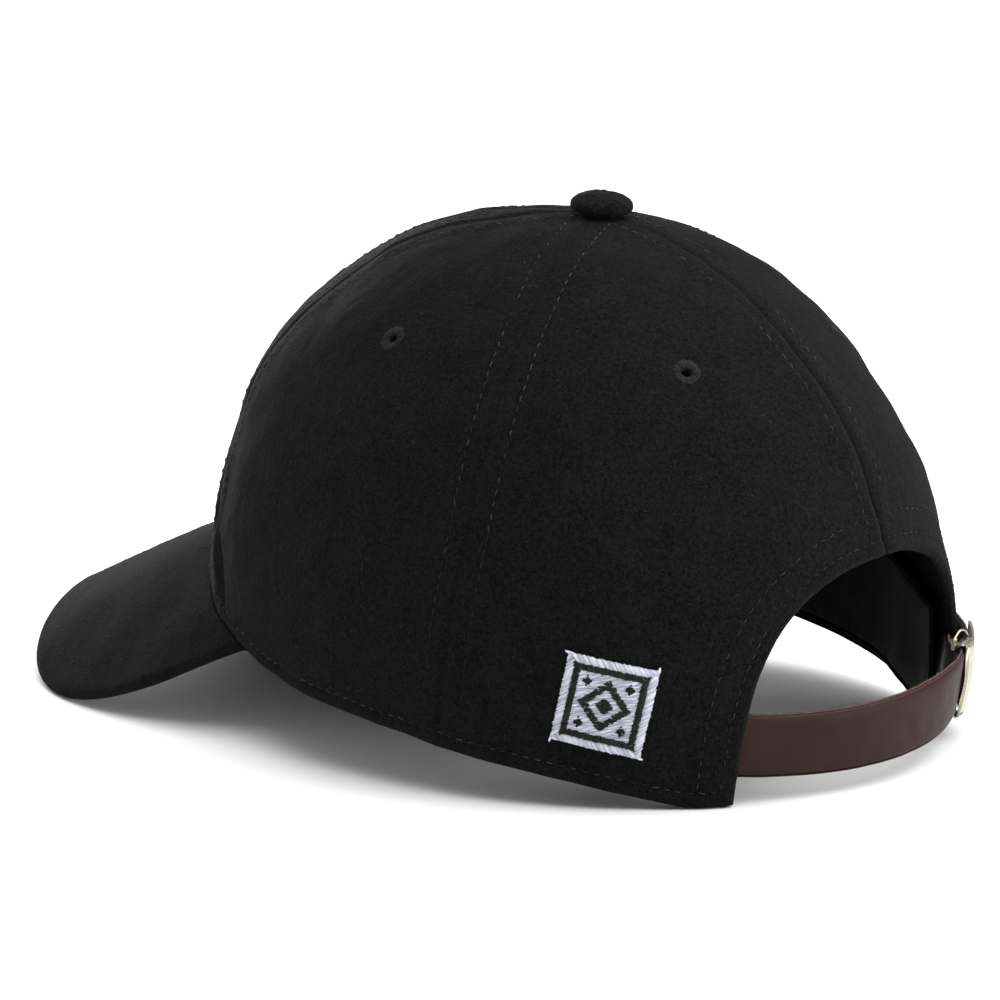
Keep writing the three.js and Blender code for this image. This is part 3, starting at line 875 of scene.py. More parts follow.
@dataclass
class Stitching:
    """Rows of separate stitches, each a short thread that dips into the cloth at both ends."""

    thread: float = 0.3
    length: float = 2.2
    pitch: float = 3.0
    rise: float = 0.16
    sink: float = 0.24
    fading: float = 0.12          # share of a stitch's shade that is left low on the crown
    fade_heights: Pair = (20.0, 112.0)
    stations: int = 5
    sides: int = 5
    seed: int = 21

    def lay(self, body: Body, path: Array, up: Array, tone: Pair, fade: bool = False) -> None:
        """Adds a row of stitches along a path.

        Each stitch is a tube whose middle rises and whose ends sink by a parabola of its length,
        and whose thickness falls off towards the ends.

        Args:
            body: The body that takes them.
            path: Points of the row on the cloth.
            up: The cloth's outward directions there.
            tone: Lowest and highest shade of a stitch.
            fade: Whether stitches are darker low on the crown.
        """
        run = along(path)
        count = int((run[-1] - self.length) / self.pitch)
        if count < 1:
            return
        draw = np.random.default_rng(self.seed + int(1000 * abs(run[-1])) % 9973)
        middles = (np.arange(count) + 0.5) * (run[-1] / count)
        middles = middles + draw.normal(0, 0.07, count) * self.pitch * 0.4
        spread = np.linspace(-1, 1, self.stations)
        lengths = self.length * draw.uniform(0.85, 1.08, count)
        places = middles[:, None] + spread * lengths[:, None] / 2
        centres = sampled(places.ravel(), run, path).reshape(count, self.stations, 3)
        normals = unit(sampled(places.ravel(), run, up)).reshape(count, self.stations, 3)
        arch = self.rise - (self.rise + self.sink) * spread**2
        centres = centres + normals * arch[None, :, None]
        onward = unit(np.gradient(centres, axis=1))
        side = unit(np.cross(onward, normals))
        skew = draw.normal(0, 0.06, (count, 1, 1)) * self.length
        centres = centres + side * skew * spread[None, :, None]
        shade = draw.uniform(*tone, count)
        # stitches are made darker low on the crown, by height alone
        if fade:
            height = centres[:, self.stations // 2, 2]
            shade = shade * mix(self.fading, 1.0, smooth(height, *self.fade_heights))
        angle = np.linspace(0, 2 * np.pi, self.sides, endpoint=False)
        thick = self.thread / 2 * (1 - 0.55 * spread**4)
        lay = np.zeros((count, self.stations, self.sides, 2))
        lay[..., 0] = (spread[None, :] * lengths[:, None] / 2)[..., None]
        lay[..., 1] = angle * self.thread / 2
        body.tubes(rings(centres, side, normals, thick, angle), shade, lay)


# Crown pieces


class Side(Enum):
    """A side of the cap, with the sign of its X."""

    LEFT = 1
    RIGHT = -1


class PanelKind(Enum):
    """A panel of one side, as its name, its two seams and the place of its eyelet."""

    FRONT = ("front", FOREHEAD, TEMPLE, (11.0, 0.4))
    SIDE = ("side", TEMPLE, EAR, (65.3, 0.357))
    BACK = ("back", EAR, NAPE, (145.6, 0.362))


def ring_of(ids: Array, row: int, column: int, half: int) -> Array:
    """The closed line of numbers round a block of a grid, centred on a row and column."""
    top, bottom, first, last = row - half, row + half, column - half, column + half
    return np.concatenate(
        [
            ids[top, first:last],
            ids[top:bottom, last],
            ids[bottom, last:first:-1],
            ids[bottom:top:-1, first],
            ids[top, first : first + 1],
        ]
    )


def rim_of(ids: Array) -> Array:
    """The closed line of numbers round a whole grid."""
    return np.concatenate([ids[0, :-1], ids[:-1, -1], ids[-1, :0:-1], ids[:0:-1, 0], ids[0, :1]])


@dataclass
class CrownPanel:
    """One panel: a fine outer sheet, a coarser inner one, and walls at its rim and eyelet hole."""

    cloth: Cloth
    kind: PanelKind
    side: Side
    rows: int = 236
    columns: int = 124
    gap: float = 0.06           # between two panels in the seam's crease
    hole: float = 2.0           # radius of the eyelet's hole in the cloth
    block: int = 2              # half the hole's block of cells in the fine grid
    spread: float = 5.0         # blocks over which the grid gives way to the hole
    crowd: float = 0.68         # how much its lines crowd towards the seams
    arch_crowd: float = 0.4     # the same where a panel ends at the opening
    hem_crowd: float = 0.38     # how much its rows crowd towards the hem
    inner_relief: float = 0.4

    def lower_edge(self, share: Array) -> tuple[Array, Array]:
        """Turn and fall of the lower edge: the hem, and then the opening's edge on a back panel."""
        form = self.cloth.form
        _, first, last, _ = self.kind.value
        if self.kind is not PanelKind.BACK:
            turn = mix(first.hem, last.hem, share)
            return turn, form.hem_fall(turn)
        foot = form.opening(np.zeros(1))[0][0]
        hem_turn = mix(first.hem, foot, np.clip(share * 2, 0, 1))
        arch_turn, arch_fall = form.opening(np.clip(share * 2 - 1, 0, 1))
        on_arch = share > 0.5
        fall = np.where(on_arch, arch_fall, form.hem_fall(hem_turn))
        return np.where(on_arch, arch_turn, hem_turn), fall

    def places(self) -> tuple[Array, Array]:
        """Turns and falls of the fine grid, whose lines crowd towards the seams and the hem."""
        form = self.cloth.form
        _, first, last, _ = self.kind.value
        crowd = self.arch_crowd if self.kind is PanelKind.BACK else self.crowd
        t = np.linspace(0, 1, self.columns + 1)
        share = t - crowd * np.sin(2 * np.pi * t) / (2 * np.pi)
        end_turn, end_fall = self.lower_edge(share)
        top_turn = mix(first.top, last.top, share)
        top_fall = form.fall_at_radius(top_turn, form.button_hole)
        s = np.linspace(0, 1, self.rows + 1)[:, None]
        down = s + self.hem_crowd * np.sin(np.pi * s) / np.pi
        fall = mix(top_fall, end_fall, down)
        turn = mix(top_turn, end_turn, (fall / end_fall) ** 2)
        radius = from_axis(form.point(turn, fall))
        half = np.degrees(self.gap / 2 / radius)
        turn[:, 0] += half[:, 0]
        turn[:, -1] -= half[:, -1]
        return turn, fall

    def give_way(self, turn: Array, fall: Array, half: int) -> tuple[Array, Array, int, int]:
        """Pushes grid lines aside so that a square block of cells becomes the eyelet's round hole.

        A point m blocks from the middle goes to the circle of m hole radii at its own angle, and
        from there back to its old place by a smooth step of m.

        Args:
            turn: Turns of the grid.
            fall: Falls of the grid.
            half: Half the block's cells.

        Returns:
            The new turns and falls, and the row and column of the hole's middle.
        """
        form = self.cloth.form
        middle_turn, middle_fall = self.kind.value[3]
        here = form.point(middle_turn, middle_fall)
        across = math.radians(1) * math.hypot(here[0], here[1])
        step = form.point(middle_turn, middle_fall + 0.01) - form.point(middle_turn, middle_fall - 0.01)
        down = float(np.linalg.norm(step)) / 0.02
        x, y = (turn - middle_turn) * across, (fall - middle_fall) * down
        row, column = np.unravel_index(np.argmin(x * x + y * y), x.shape)
        b = ((np.arange(turn.shape[0]) - row) / half)[:, None]
        a = ((np.arange(turn.shape[1]) - column) / half)[None, :]
        blocks = np.maximum(abs(a), abs(b))
        back = smooth(blocks, 1.0, self.spread)
        angle = np.arctan2(b + 0 * a, a + 0 * b)
        x0, y0 = x[row, column], y[row, column]
        x = mix(self.hole * blocks * np.cos(angle), x - x0 * (1 - back), back)
        y = mix(self.hole * blocks * np.sin(angle), y - y0 * (1 - back), back)
        return middle_turn + x / across, middle_fall + y / down, int(row), int(column)

    def sheet(
        self, body: Body, turn: Array, fall: Array, half: int, inner: bool
    ) -> tuple[Array, Array]:
        """Adds one sheet of the cloth.

        Args:
            body: The body that takes it.
            turn: Turns of its grid.
            fall: Falls of its grid.
            half: Half the cells of the block that becomes the hole.
            inner: Whether it is the inner sheet.

        Returns:
            The numbers round its rim and round its hole.
        """
        form = self.cloth.form
        turn, fall, row, column = self.give_way(turn, fall, half)
        if inner:
            plain = form.point(turn, fall)
            wrinkles = self.inner_relief * ripple(plain, 15.0, 71) * smooth(plain[..., 2], 38, 54)
            points = form.under(turn, fall, form.wall - self.cloth.waves(plain) + wrinkles)
        else:
            points = self.cloth.face(turn, fall)
        points = mirrored(points, self.side.value)
        points[..., 2] = np.maximum(points[..., 2], 0.0)
        ids = body.add(points, float(inner))
        keep = np.ones((turn.shape[0] - 1, turn.shape[1] - 1), bool)
        keep[row - half : row + half, column - half : column + half] = False
        body.grid(ids[::-1] if inner else ids, keep[::-1] if inner else keep)
        return rim_of(ids), ring_of(ids, row, column, half)

    def build(self, origin: Array, finish: Finish) -> tuple[Array, Array]:
        """Builds the panel and gives its outer face's points and directions."""
        body = Body(origin)
        turn, fall = self.places()
        outer_rim, outer_hole = self.sheet(body, turn, fall, self.block, False)
        inner_rim, inner_hole = self.sheet(body, turn[::2, ::2], fall[::2, ::2], self.block // 2, True)
        body.seam(outer_rim[::-1], inner_rim[::-1])
        body.seam(outer_hole, inner_hole)
        name = f"{self.kind.value[0]}_{self.side.name.lower()}_panel"
        place(body, f"cloth_{name}", finish, (name,))
        points, up = self.cloth.face(turn, fall), self.cloth.form.normal(turn, fall)
        return mirrored(points, self.side.value), mirrored(up, self.side.value)


@dataclass
class SewnEyelet:
    """A ring of radial stitches over the edge of a hole, on both faces of the cloth."""

    cloth: Cloth
    kind: PanelKind
    side: Side
    radius: float = 3.85
    hole: float = 1.3
    lip: float = 0.14
    threads: int = 40
    per_thread: int = 5         # points round the hole
    loop_points: int = 28
    seed: int = 5

    def build(self, origin: Array, finish: Finish) -> None:
        """Carries a closed profile round the hole, ribbed by the threads.

        The profile is a flattened loop round the cloth's edge: its radius goes with the cosine and
        its height with the sine of the way round, both to a power under 1. The ribs are the
        absolute sine of half the threads' number times the turn; they also darken the colour
        between threads, as painted shade in the grooves.
        """
        turn, fall = (np.array([value]) for value in self.kind.value[3])
        form = self.cloth.form
        centre = form.under(turn, fall, form.wall / 2 - self.cloth.relief(turn, fall))[0]
        up = form.normal(turn, fall)[0]
        first = unit(np.cross(up, np.array([0.0, 0.0, 1.0])))
        second = np.cross(up, first)
        draw = np.random.default_rng(self.seed + 7 * len(self.kind.name) + self.side.value)
        count = self.threads * self.per_thread
        angle = np.linspace(0, 2 * np.pi, count, endpoint=False)[:, None]
        loop = np.linspace(0, 2 * np.pi, self.loop_points, endpoint=False)[None, :]
        rib = np.abs(np.sin(angle * self.threads / 2))
        reach = np.repeat(draw.normal(0, 0.16, self.threads), self.per_thread)[:, None]
        tall = np.repeat(draw.normal(0, 0.05, self.threads), self.per_thread)[:, None]
        middle, half = (self.radius + self.hole) / 2, (self.radius - self.hole) / 2
        c, s = np.cos(loop), np.sin(loop)
        out = middle + half * np.sign(c) * np.abs(c) ** 0.8 * (1 + 0.05 * rib)
        out = out + reach * np.clip(c, 0, 1)
        height = (form.wall / 2 + self.lip + tall) * np.sign(s) * np.abs(s) ** 0.45
        height = height + 0.16 * (rib - 0.6) * np.sign(s) * smooth(np.abs(s), 0.3, 0.8)
        height = height - 0.26 * np.clip(c, 0, 1) ** 2 * np.sign(s)
        way = np.cos(angle)[..., None] * first + np.sin(angle)[..., None] * second
        points = mirrored(centre + out[..., None] * way + height[..., None] * up, self.side.value)
        body = Body(origin)
        shade = np.repeat(draw.uniform(0.35, 1.0, self.threads), self.per_thread)[:, None] + 0 * loop
        lay = np.stack([out, angle * middle + 0 * loop], axis=-1)
        # the rib factor darkens each thread's tone towards the grooves between threads: painted shade
        ids = body.add(points, shade * (0.55 + 0.45 * rib), lay)
        ids = np.concatenate([ids, ids[:1]], axis=0)
        ids = np.concatenate([ids, ids[:, :1]], axis=1)
        body.grid(ids)
        name = f"{self.kind.value[0]}_{self.side.name.lower()}_eyelet"
        place(body, f"sewn_{name}", finish, (name,))


@dataclass
class CoveredButton:
    """The cloth-covered button: a low dome that rolls in under its rim."""

    form: CrownForm
    radius: float = 8.0
    height: float = 4.7
    edge: float = 1.2
    lift: float = 0.35
    tilt: float = 4.0
    shank: float = 2.6
    rounds: int = 96
    dome_powers: Pair = (0.78, 0.92)
    uneven: tuple[tuple[float, float, int], ...] = ((0.09, 5.0, 3), (0.05, 1.8, 8))

    def build(self, origin: Array, finish: Finish) -> tuple[Array, Array]:
        """Turns a profile round the axis, uneven by small waves, and gives its dome's points.

        The dome's radius is a power of the cosine and its height one of the sine of a quarter
        turn; under the rim a smaller quarter runs back to the shank.
        """
        up = np.linspace(0, 1, 34)[1:-1] * np.pi / 2
        under = np.linspace(-1, 0, 10) * np.pi / 2
        wide_power, tall_power = self.dome_powers
        rise = self.edge + (self.height - self.edge) * np.sin(up) ** tall_power
        dome = np.stack([self.radius * np.cos(up) ** wide_power, rise], -1)
        inward = self.edge * 0.9 * (1 - np.cos(under))
        roll = np.stack([self.radius - inward, self.edge + self.edge * np.sin(under)], -1)
        foot = np.array([[self.shank, -0.4], [self.shank + 1.2, 0.15], [self.radius - 2.6, 0.1]])
        profile = np.concatenate([foot, roll, dome])
        angle = np.linspace(0, 2 * np.pi, self.rounds, endpoint=False)
        wide, tall = profile[:, :1], profile[:, 1:]
        flat = np.stack([wide * np.cos(angle), wide * np.sin(angle), tall + 0 * angle], -1)
        way = unit(flat - np.array([0.0, 0.0, self.edge]))
        share = smooth(profile[:, 1], 0.0, self.edge)[:, None]
        uneven = ripples(flat, self.uneven)
        flat = flat + way * uneven[..., None] * share[..., None]
        lean = math.radians(-self.tilt)
        turned = flat.copy()
        turned[..., 1] = flat[..., 1] * math.cos(lean) - flat[..., 2] * math.sin(lean)
        turned[..., 2] = flat[..., 1] * math.sin(lean) + flat[..., 2] * math.cos(lean)
        turned[..., 2] += self.form.height + self.form.clearance + self.lift
        body = Body(origin)
        crown = turned[-1].mean(axis=0) + np.array([0.0, 0.0, 0.05])
        body.close(body.add(turned), (turned[0].mean(axis=0), crown), 0.0)
        place(body, "covered_button", finish, ("top_button",))
        return turned[4:], unit(turned[4:] - turned[4:].mean(axis=(0, 1)))


# Bill


@dataclass
class Bill:
    """The curved bill: cloth over a stiffener, with a rounded edge and rows that follow it."""

    form: CrownForm
    corner_turn: float = 46.4
    reach: float = 56.0
    root_handle: float = 3.0
    root_flare: float = 10.5
    tip_handle: float = 87.0
    thickness: float = 3.6
    press: float = 0.25
    root_height: float = 43.3
    pitch: float = 0.41
    droop_radius: float = 431.0
    root_radius: float = 62.8
    tip_radius: float = 54.6
    first_row: float = 6.0
    row_step: float = 6.6
    row_count: int = 7
    row_margin: float = 2.5     # hem to the end of a row
    row_sink: float = 0.06
    uneven: tuple[tuple[float, float, int], ...] = ((0.12, 26.0, 31), (0.03, 7.0, 33))
    stitch_pitch: float = 3.0
    columns: int = 230
    rows: int = 66
    edge_rows: int = 9

    def top_height(self, x: Array, y: Array) -> Array:
        """Height of the top face: root height plus pitch, less half the squares over the radii."""
        ahead = y + self.form.section(np.zeros(1))[0][0]
        bend = mix(1 / self.root_radius, 1 / self.tip_radius, -ahead / self.reach)
        return self.root_height + self.pitch * ahead - ahead**2 / (2 * self.droop_radius) - bend * x**2 / 2

    def up(self, x: Array, y: Array) -> Array:
        """Outward direction of the top face, from its slopes."""
        step = 0.5
        slope_x = (self.top_height(x + step, y) - self.top_height(x - step, y)) / (2 * step)
        slope_y = (self.top_height(x, y + step) - self.top_height(x, y - step)) / (2 * step)
        return unit(np.stack([-slope_x, -slope_y, np.ones_like(x)], axis=-1))

    def outline(self, count: int) -> Array:
        """The outer edge from above, evenly spaced: two mirrored cubic Bezier curves."""
        corner = self.form.point(self.corner_turn, 1.0)
        flare = math.radians(self.root_flare)
        tip = -(self.form.section(np.zeros(1))[0][0] + self.reach)
        handle = corner[:2] + self.root_handle * np.array([math.sin(flare), -math.cos(flare)])
        t = np.linspace(0, 1, 900)[:, None]
        u = 1 - t
        ends = np.array([[self.tip_handle, tip], [0.0, tip]])
        half = u**3 * corner[:2] + 3 * u * u * t * handle + 3 * u * t * t * ends[0] + t**3 * ends[1]
        whole = np.concatenate([half, half[-2::-1] * np.array([-1.0, 1.0])])
        run = along(whole)
        return sampled(np.linspace(0, run[-1], count + 1), run, whole)

    def seat(self, plan: Array, turn: Array) -> Array:
        """Drop of the top face near the root, so that it meets the hem and goes under the crown."""
        hem = self.form.point(turn, np.ones_like(turn))
        gap = self.form.hem_height(turn) + self.press - self.top_height(hem[..., 0], hem[..., 1])
        past = from_axis(plan) - from_axis(hem)
        ease = np.maximum(0, 1 - np.maximum(past, 0) / self.reach * 2) ** 2
        return gap * ease

    def relief(self, plan: Array) -> Array:
        """Height of the cloth over its smooth form: the sunk rows and a slight unevenness."""
        edge = self.outline(900)
        line = np.concatenate([edge, np.zeros((len(edge), 1))], axis=1)
        flat = np.concatenate([plan, np.zeros(plan.shape[:-1] + (1,))], axis=-1)
        away, run = nearest(flat, line)
        rows = self.first_row + self.row_step * np.arange(self.row_count)
        pull = 0.65 + 0.35 * np.cos(2 * np.pi * run / self.stitch_pitch)
        sunk = sum(-self.row_sink * bump(away, row, 0.9) * pull for row in rows)
        return sunk + ripples(flat, self.uneven)

    def turn_of(self, plan: Array) -> Array:
        """Turn of a place seen from above, kept between the corners."""
        turn = np.degrees(np.arctan2(plan[..., 0], -plan[..., 1]))
        return np.clip(turn, -self.corner_turn, self.corner_turn)

    def face(self, plan: Array, depth: Array) -> Array:
        """A point at a depth under the top face, over a place seen from above."""
        turn = self.turn_of(plan)
        hem = self.form.point(turn, np.ones_like(turn))
        inside = from_axis(plan) < from_axis(hem)
        x = np.where(inside, hem[..., 0], plan[..., 0])
        y = np.where(inside, hem[..., 1], plan[..., 1])
        height = self.top_height(x, y) + self.seat(plan, turn)
        points = np.concatenate([plan, height[..., None]], axis=-1)
        return points - self.up(plan[..., 0], plan[..., 1]) * depth[..., None]

    def build(self, origin: Array, finish: Finish) -> tuple[Array, Array]:
        """Builds the bill and gives its top face's points and directions.

        Lines run from the root to the edge. Near the edge the top and bottom faces come together
        along a half circle: depth is half the thickness times one less the root of 1 - q squared.
        """
        edge = self.outline(self.columns)
        turn = np.linspace(self.corner_turn, -self.corner_turn, self.columns + 1)
        hem = self.form.point(turn, np.ones_like(turn))
        inside = 1 - (self.form.wall + self.form.clearance) / from_axis(hem)
        root = hem[:, :2] * inside[:, None]
        length = np.linalg.norm(edge - root, axis=1)
        half = self.thickness / 2
        rim = np.minimum(half, length * 0.45)
        body_share = np.linspace(0, 1, self.rows)[:, None] * (1 - rim / length)
        turn_in = np.sin(np.linspace(0, np.pi / 2, self.edge_rows + 1))[1:, None]
        edge_share = 1 - rim / length * (1 - turn_in)
        share = np.concatenate([body_share, edge_share])
        plan = root + (edge - root) * share[..., None]
        q = np.clip(1 - (1 - share) * length / rim, 0, 1)
        roll = half * (1 - np.sqrt(1 - q**2))
        lift = self.relief(plan) * (1 - q) * smooth(share * length, 3.0, 11.0)
        top = self.face(plan, roll - lift)
        bottom = self.face(plan[:-1], self.thickness - roll[:-1] + lift[:-1])
        top[..., 2] = np.maximum(top[..., 2], 0.0)
        bottom[..., 2] = np.maximum(bottom[..., 2], 0.0)
        body = Body(origin)
        top_ids = body.add(top)
        bottom_ids = np.concatenate([body.add(bottom), top_ids[-1:]])
        body.grid(top_ids)
        body.grid(bottom_ids[::-1])
        body.strip(bottom_ids[0], top_ids[0])
        body.face(top_ids[:-1, 0], bottom_ids[:-1, 0], bottom_ids[1:, 0], top_ids[1:, 0])
        body.face(top_ids[1:, -1], bottom_ids[1:, -1], bottom_ids[:-1, -1], top_ids[:-1, -1])
        place(body, "cloth_bill", finish, ("bill",))
        return top, self.up(plan[..., 0], plan[..., 1])

    def stitch(self, body: Body, stitching: Stitching) -> None:
        """Lays the rows that follow the edge, on the top and on the underside."""
        edge = self.outline(1200)
        onward = unit(np.gradient(edge, axis=0))
        inward = np.stack([onward[:, 1], -onward[:, 0]], axis=1)
        middle = edge.mean(axis=0)
        inward = inward * np.sign(((middle - edge) * inward).sum(axis=1, keepdims=True))
        for row in self.first_row + self.row_step * np.arange(self.row_count):
            plan = edge + inward * row
            turn = self.turn_of(plan)
            hem = self.form.point(turn, np.ones_like(turn))
            clear = from_axis(plan) > from_axis(hem) + self.row_margin
            ahead = np.abs(np.degrees(np.arctan2(plan[:, 0], -plan[:, 1]))) < self.corner_turn
            plan = plan[clear & ahead]
            if len(plan) < 20:
                continue
            up = self.up(plan[:, 0], plan[:, 1])
            lift = self.relief(plan)
            stitching.lay(body, self.face(plan, -lift), up, (0.0, 1.0))
            stitching.lay(body, self.face(plan, self.thickness + lift), -up, (0.0, 1.0))


# Bands that lie along the crown


@dataclass
class Band:
    """A closed band along the crown, a rounded section carried along the turn."""

    form: CrownForm
    columns: int = 160
    bevel: float = 0.4
    face_points: int = 12
    corner_points: int = 4

    def loop(self, wide: float, thick: float) -> tuple[Array, Array]:
        """The section's rounded rectangle.

        Args:
            wide: Its height.
            thick: Its depth.

        Returns:
            Height from the middle and depth from the outer face, and a mask that is 1 on the cut
            edges at the top and the bottom, and at the top also on the rounded corners as a painted
            highlight.
        """
        r = min(self.bevel, thick * 0.48)
        quarter = np.linspace(0, np.pi / 2, self.corner_points)
        middles = [(wide / 2 - r, r, np.pi), (wide / 2 - r, thick - r, np.pi * 1.5)]
        middles += [(-wide / 2 + r, thick - r, 0.0), (-wide / 2 + r, r, np.pi / 2)]
        parts = []
        for index, (height, depth, start) in enumerate(middles):
            turned = start + quarter - np.pi / 2
            across, deep = np.sin(turned - np.pi / 2), np.cos(turned - np.pi / 2)
            parts.append(np.stack([height - r * across, depth + r * deep], -1))
            if index in (1, 3):
                after = middles[(index + 1) % 4]
                ends = np.linspace(height, after[0], self.face_points)[1:-1]
                level = thick if index == 1 else 0.0
                parts.append(np.stack([ends, np.full_like(ends, level)], -1))
        points = np.concatenate(parts)
        # the top mask reaches over the rounded corners, unlike the foot's: a painted highlight along the
        # upper edge
        top = smooth(points[:, 0], wide / 2 - r * 1.9, wide / 2 - r * 0.9)
        foot = smooth(-points[:, 0], wide / 2 - r * 1.05, wide / 2 - r * 0.3)
        return points, np.maximum(top, foot)

    def build(
        self,
        body: Body,
        turns: Pair,
        wide: float,
        thick: float,
        middle: Callable[[Array], Array],
        outer: Callable[[Array], Array],
        dome: float = 0.0,
        wobble: float = 0.0,
        flare: Callable[[Array, Array], Array] | None = None,
    ) -> None:
        """Adds a band.

        Each point is on the cloth's normal, at the middle line's height plus the section's own
        and at the outer depth plus the section's own, less a dome across the section.

        Args:
            body: The body that takes it.
            turns: First and last turn.
            wide: Height of the band.
            thick: Its thickness.
            middle: Height of the middle line at each turn.
            outer: Depth of the outer face at each turn.
            dome: Swell of the faces outwards in the middle of the section.
            wobble: Unevenness of its depth.
            flare: How far it stands out further at a turn and height, or none.
        """
        turn = np.linspace(turns[0], turns[1], self.columns + 1)[:, None]
        section, edge = self.loop(wide, thick)
        height = middle(turn) + section[:, 0]
        swell = dome * (1 - (2 * section[:, 0] / wide) ** 2)
        depth = outer(turn) + section[:, 1] - swell
        if flare:
            depth = depth - flare(turn, height)
        turn = turn + 0 * height
        fall = self.form.fall_at_height(turn, height)
        points = self.form.under(turn, fall, depth)
        if wobble:
            way = self.form.normal(turn, fall)
            points = points + way * (wobble * ripple(points, 9.0, 41))[..., None]
        run = along(points[:, 0][None])[0]
        lay = np.stack([run[:, None] + 0 * height, section[:, 0] + 0 * height], axis=-1)
        centres = (points[0].mean(axis=0), points[-1].mean(axis=0))
        body.close(body.add(points, edge + 0 * height, lay), centres, 1.0)


@dataclass
class StrapLine:
    """The route of the strap and its tab, by the same rule as their solids."""

    form: CrownForm
    width: float = 17.4
    thickness: float = 1.8
    height: float = 13.4
    low_turn: float = 171.0
    end_turn: float = 132.0
    tail_turn: float = 226.0
    rise_left: float = 4.6
    rise_right: float = 6.8
    bow: float = 3.4
    bow_margin: float = 4.5
    clasp_turn: float = 203.6
    tab_start: float = 206.0
    tab_end: float = 229.0
    tab_thickness: float = 1.3
    tab_lift: float = 0.9
    lean: float = 2.0
    lean_turns: Pair = (186.0, 216.0)       # where the lean starts and where it fades
    lean_power: float = 1.3
    foot: float = field(init=False)

    def __post_init__(self) -> None:
        """Finds the turn of the opening's foot."""
        self.foot = float(self.form.opening(np.zeros(1))[0][0])

    def middle(self, turn: Array) -> Array:
        """Height of the middle line, rising with the square of the way to both ends."""
        left = (self.low_turn - turn) / (self.low_turn - self.end_turn)
        right = (turn - self.low_turn) / (self.tail_turn - self.low_turn)
        rise = np.where(turn < self.low_turn, self.rise_left * left**2, self.rise_right * right**2)
        return self.height + rise

    def outer(self, turn: Array) -> Array:
        """Depth of the strap's outer face: out of the opening to the clasp, then a dive inside."""
        margin = self.foot + self.bow_margin
        out = smooth(turn, margin, self.clasp_turn)
        dive = smooth(turn, self.clasp_turn, 360 - margin)
        return self.form.wall + self.form.clearance - self.bow * (out - dive)

    def flare(self, turn: Array, height: Array) -> Array:
        """How far the band leans out near the clasp: most at its upper edge, nothing at its lower."""
        share = np.clip(0.5 + (height - self.middle(turn)) / self.width, 0, 1.2)
        first, last = self.lean_turns
        near = smooth(turn, first, self.clasp_turn) * (1 - smooth(turn, last, self.tab_end))
        return self.lean * share**self.lean_power * near

    def tab_inner(self, turn: Array) -> Array:
        """Depth of the tab's inner face, less over the cloth at the sewn end than at the free one."""
        return -mix(self.tab_lift, self.form.clearance, smooth(turn, self.tab_start, self.tab_end))


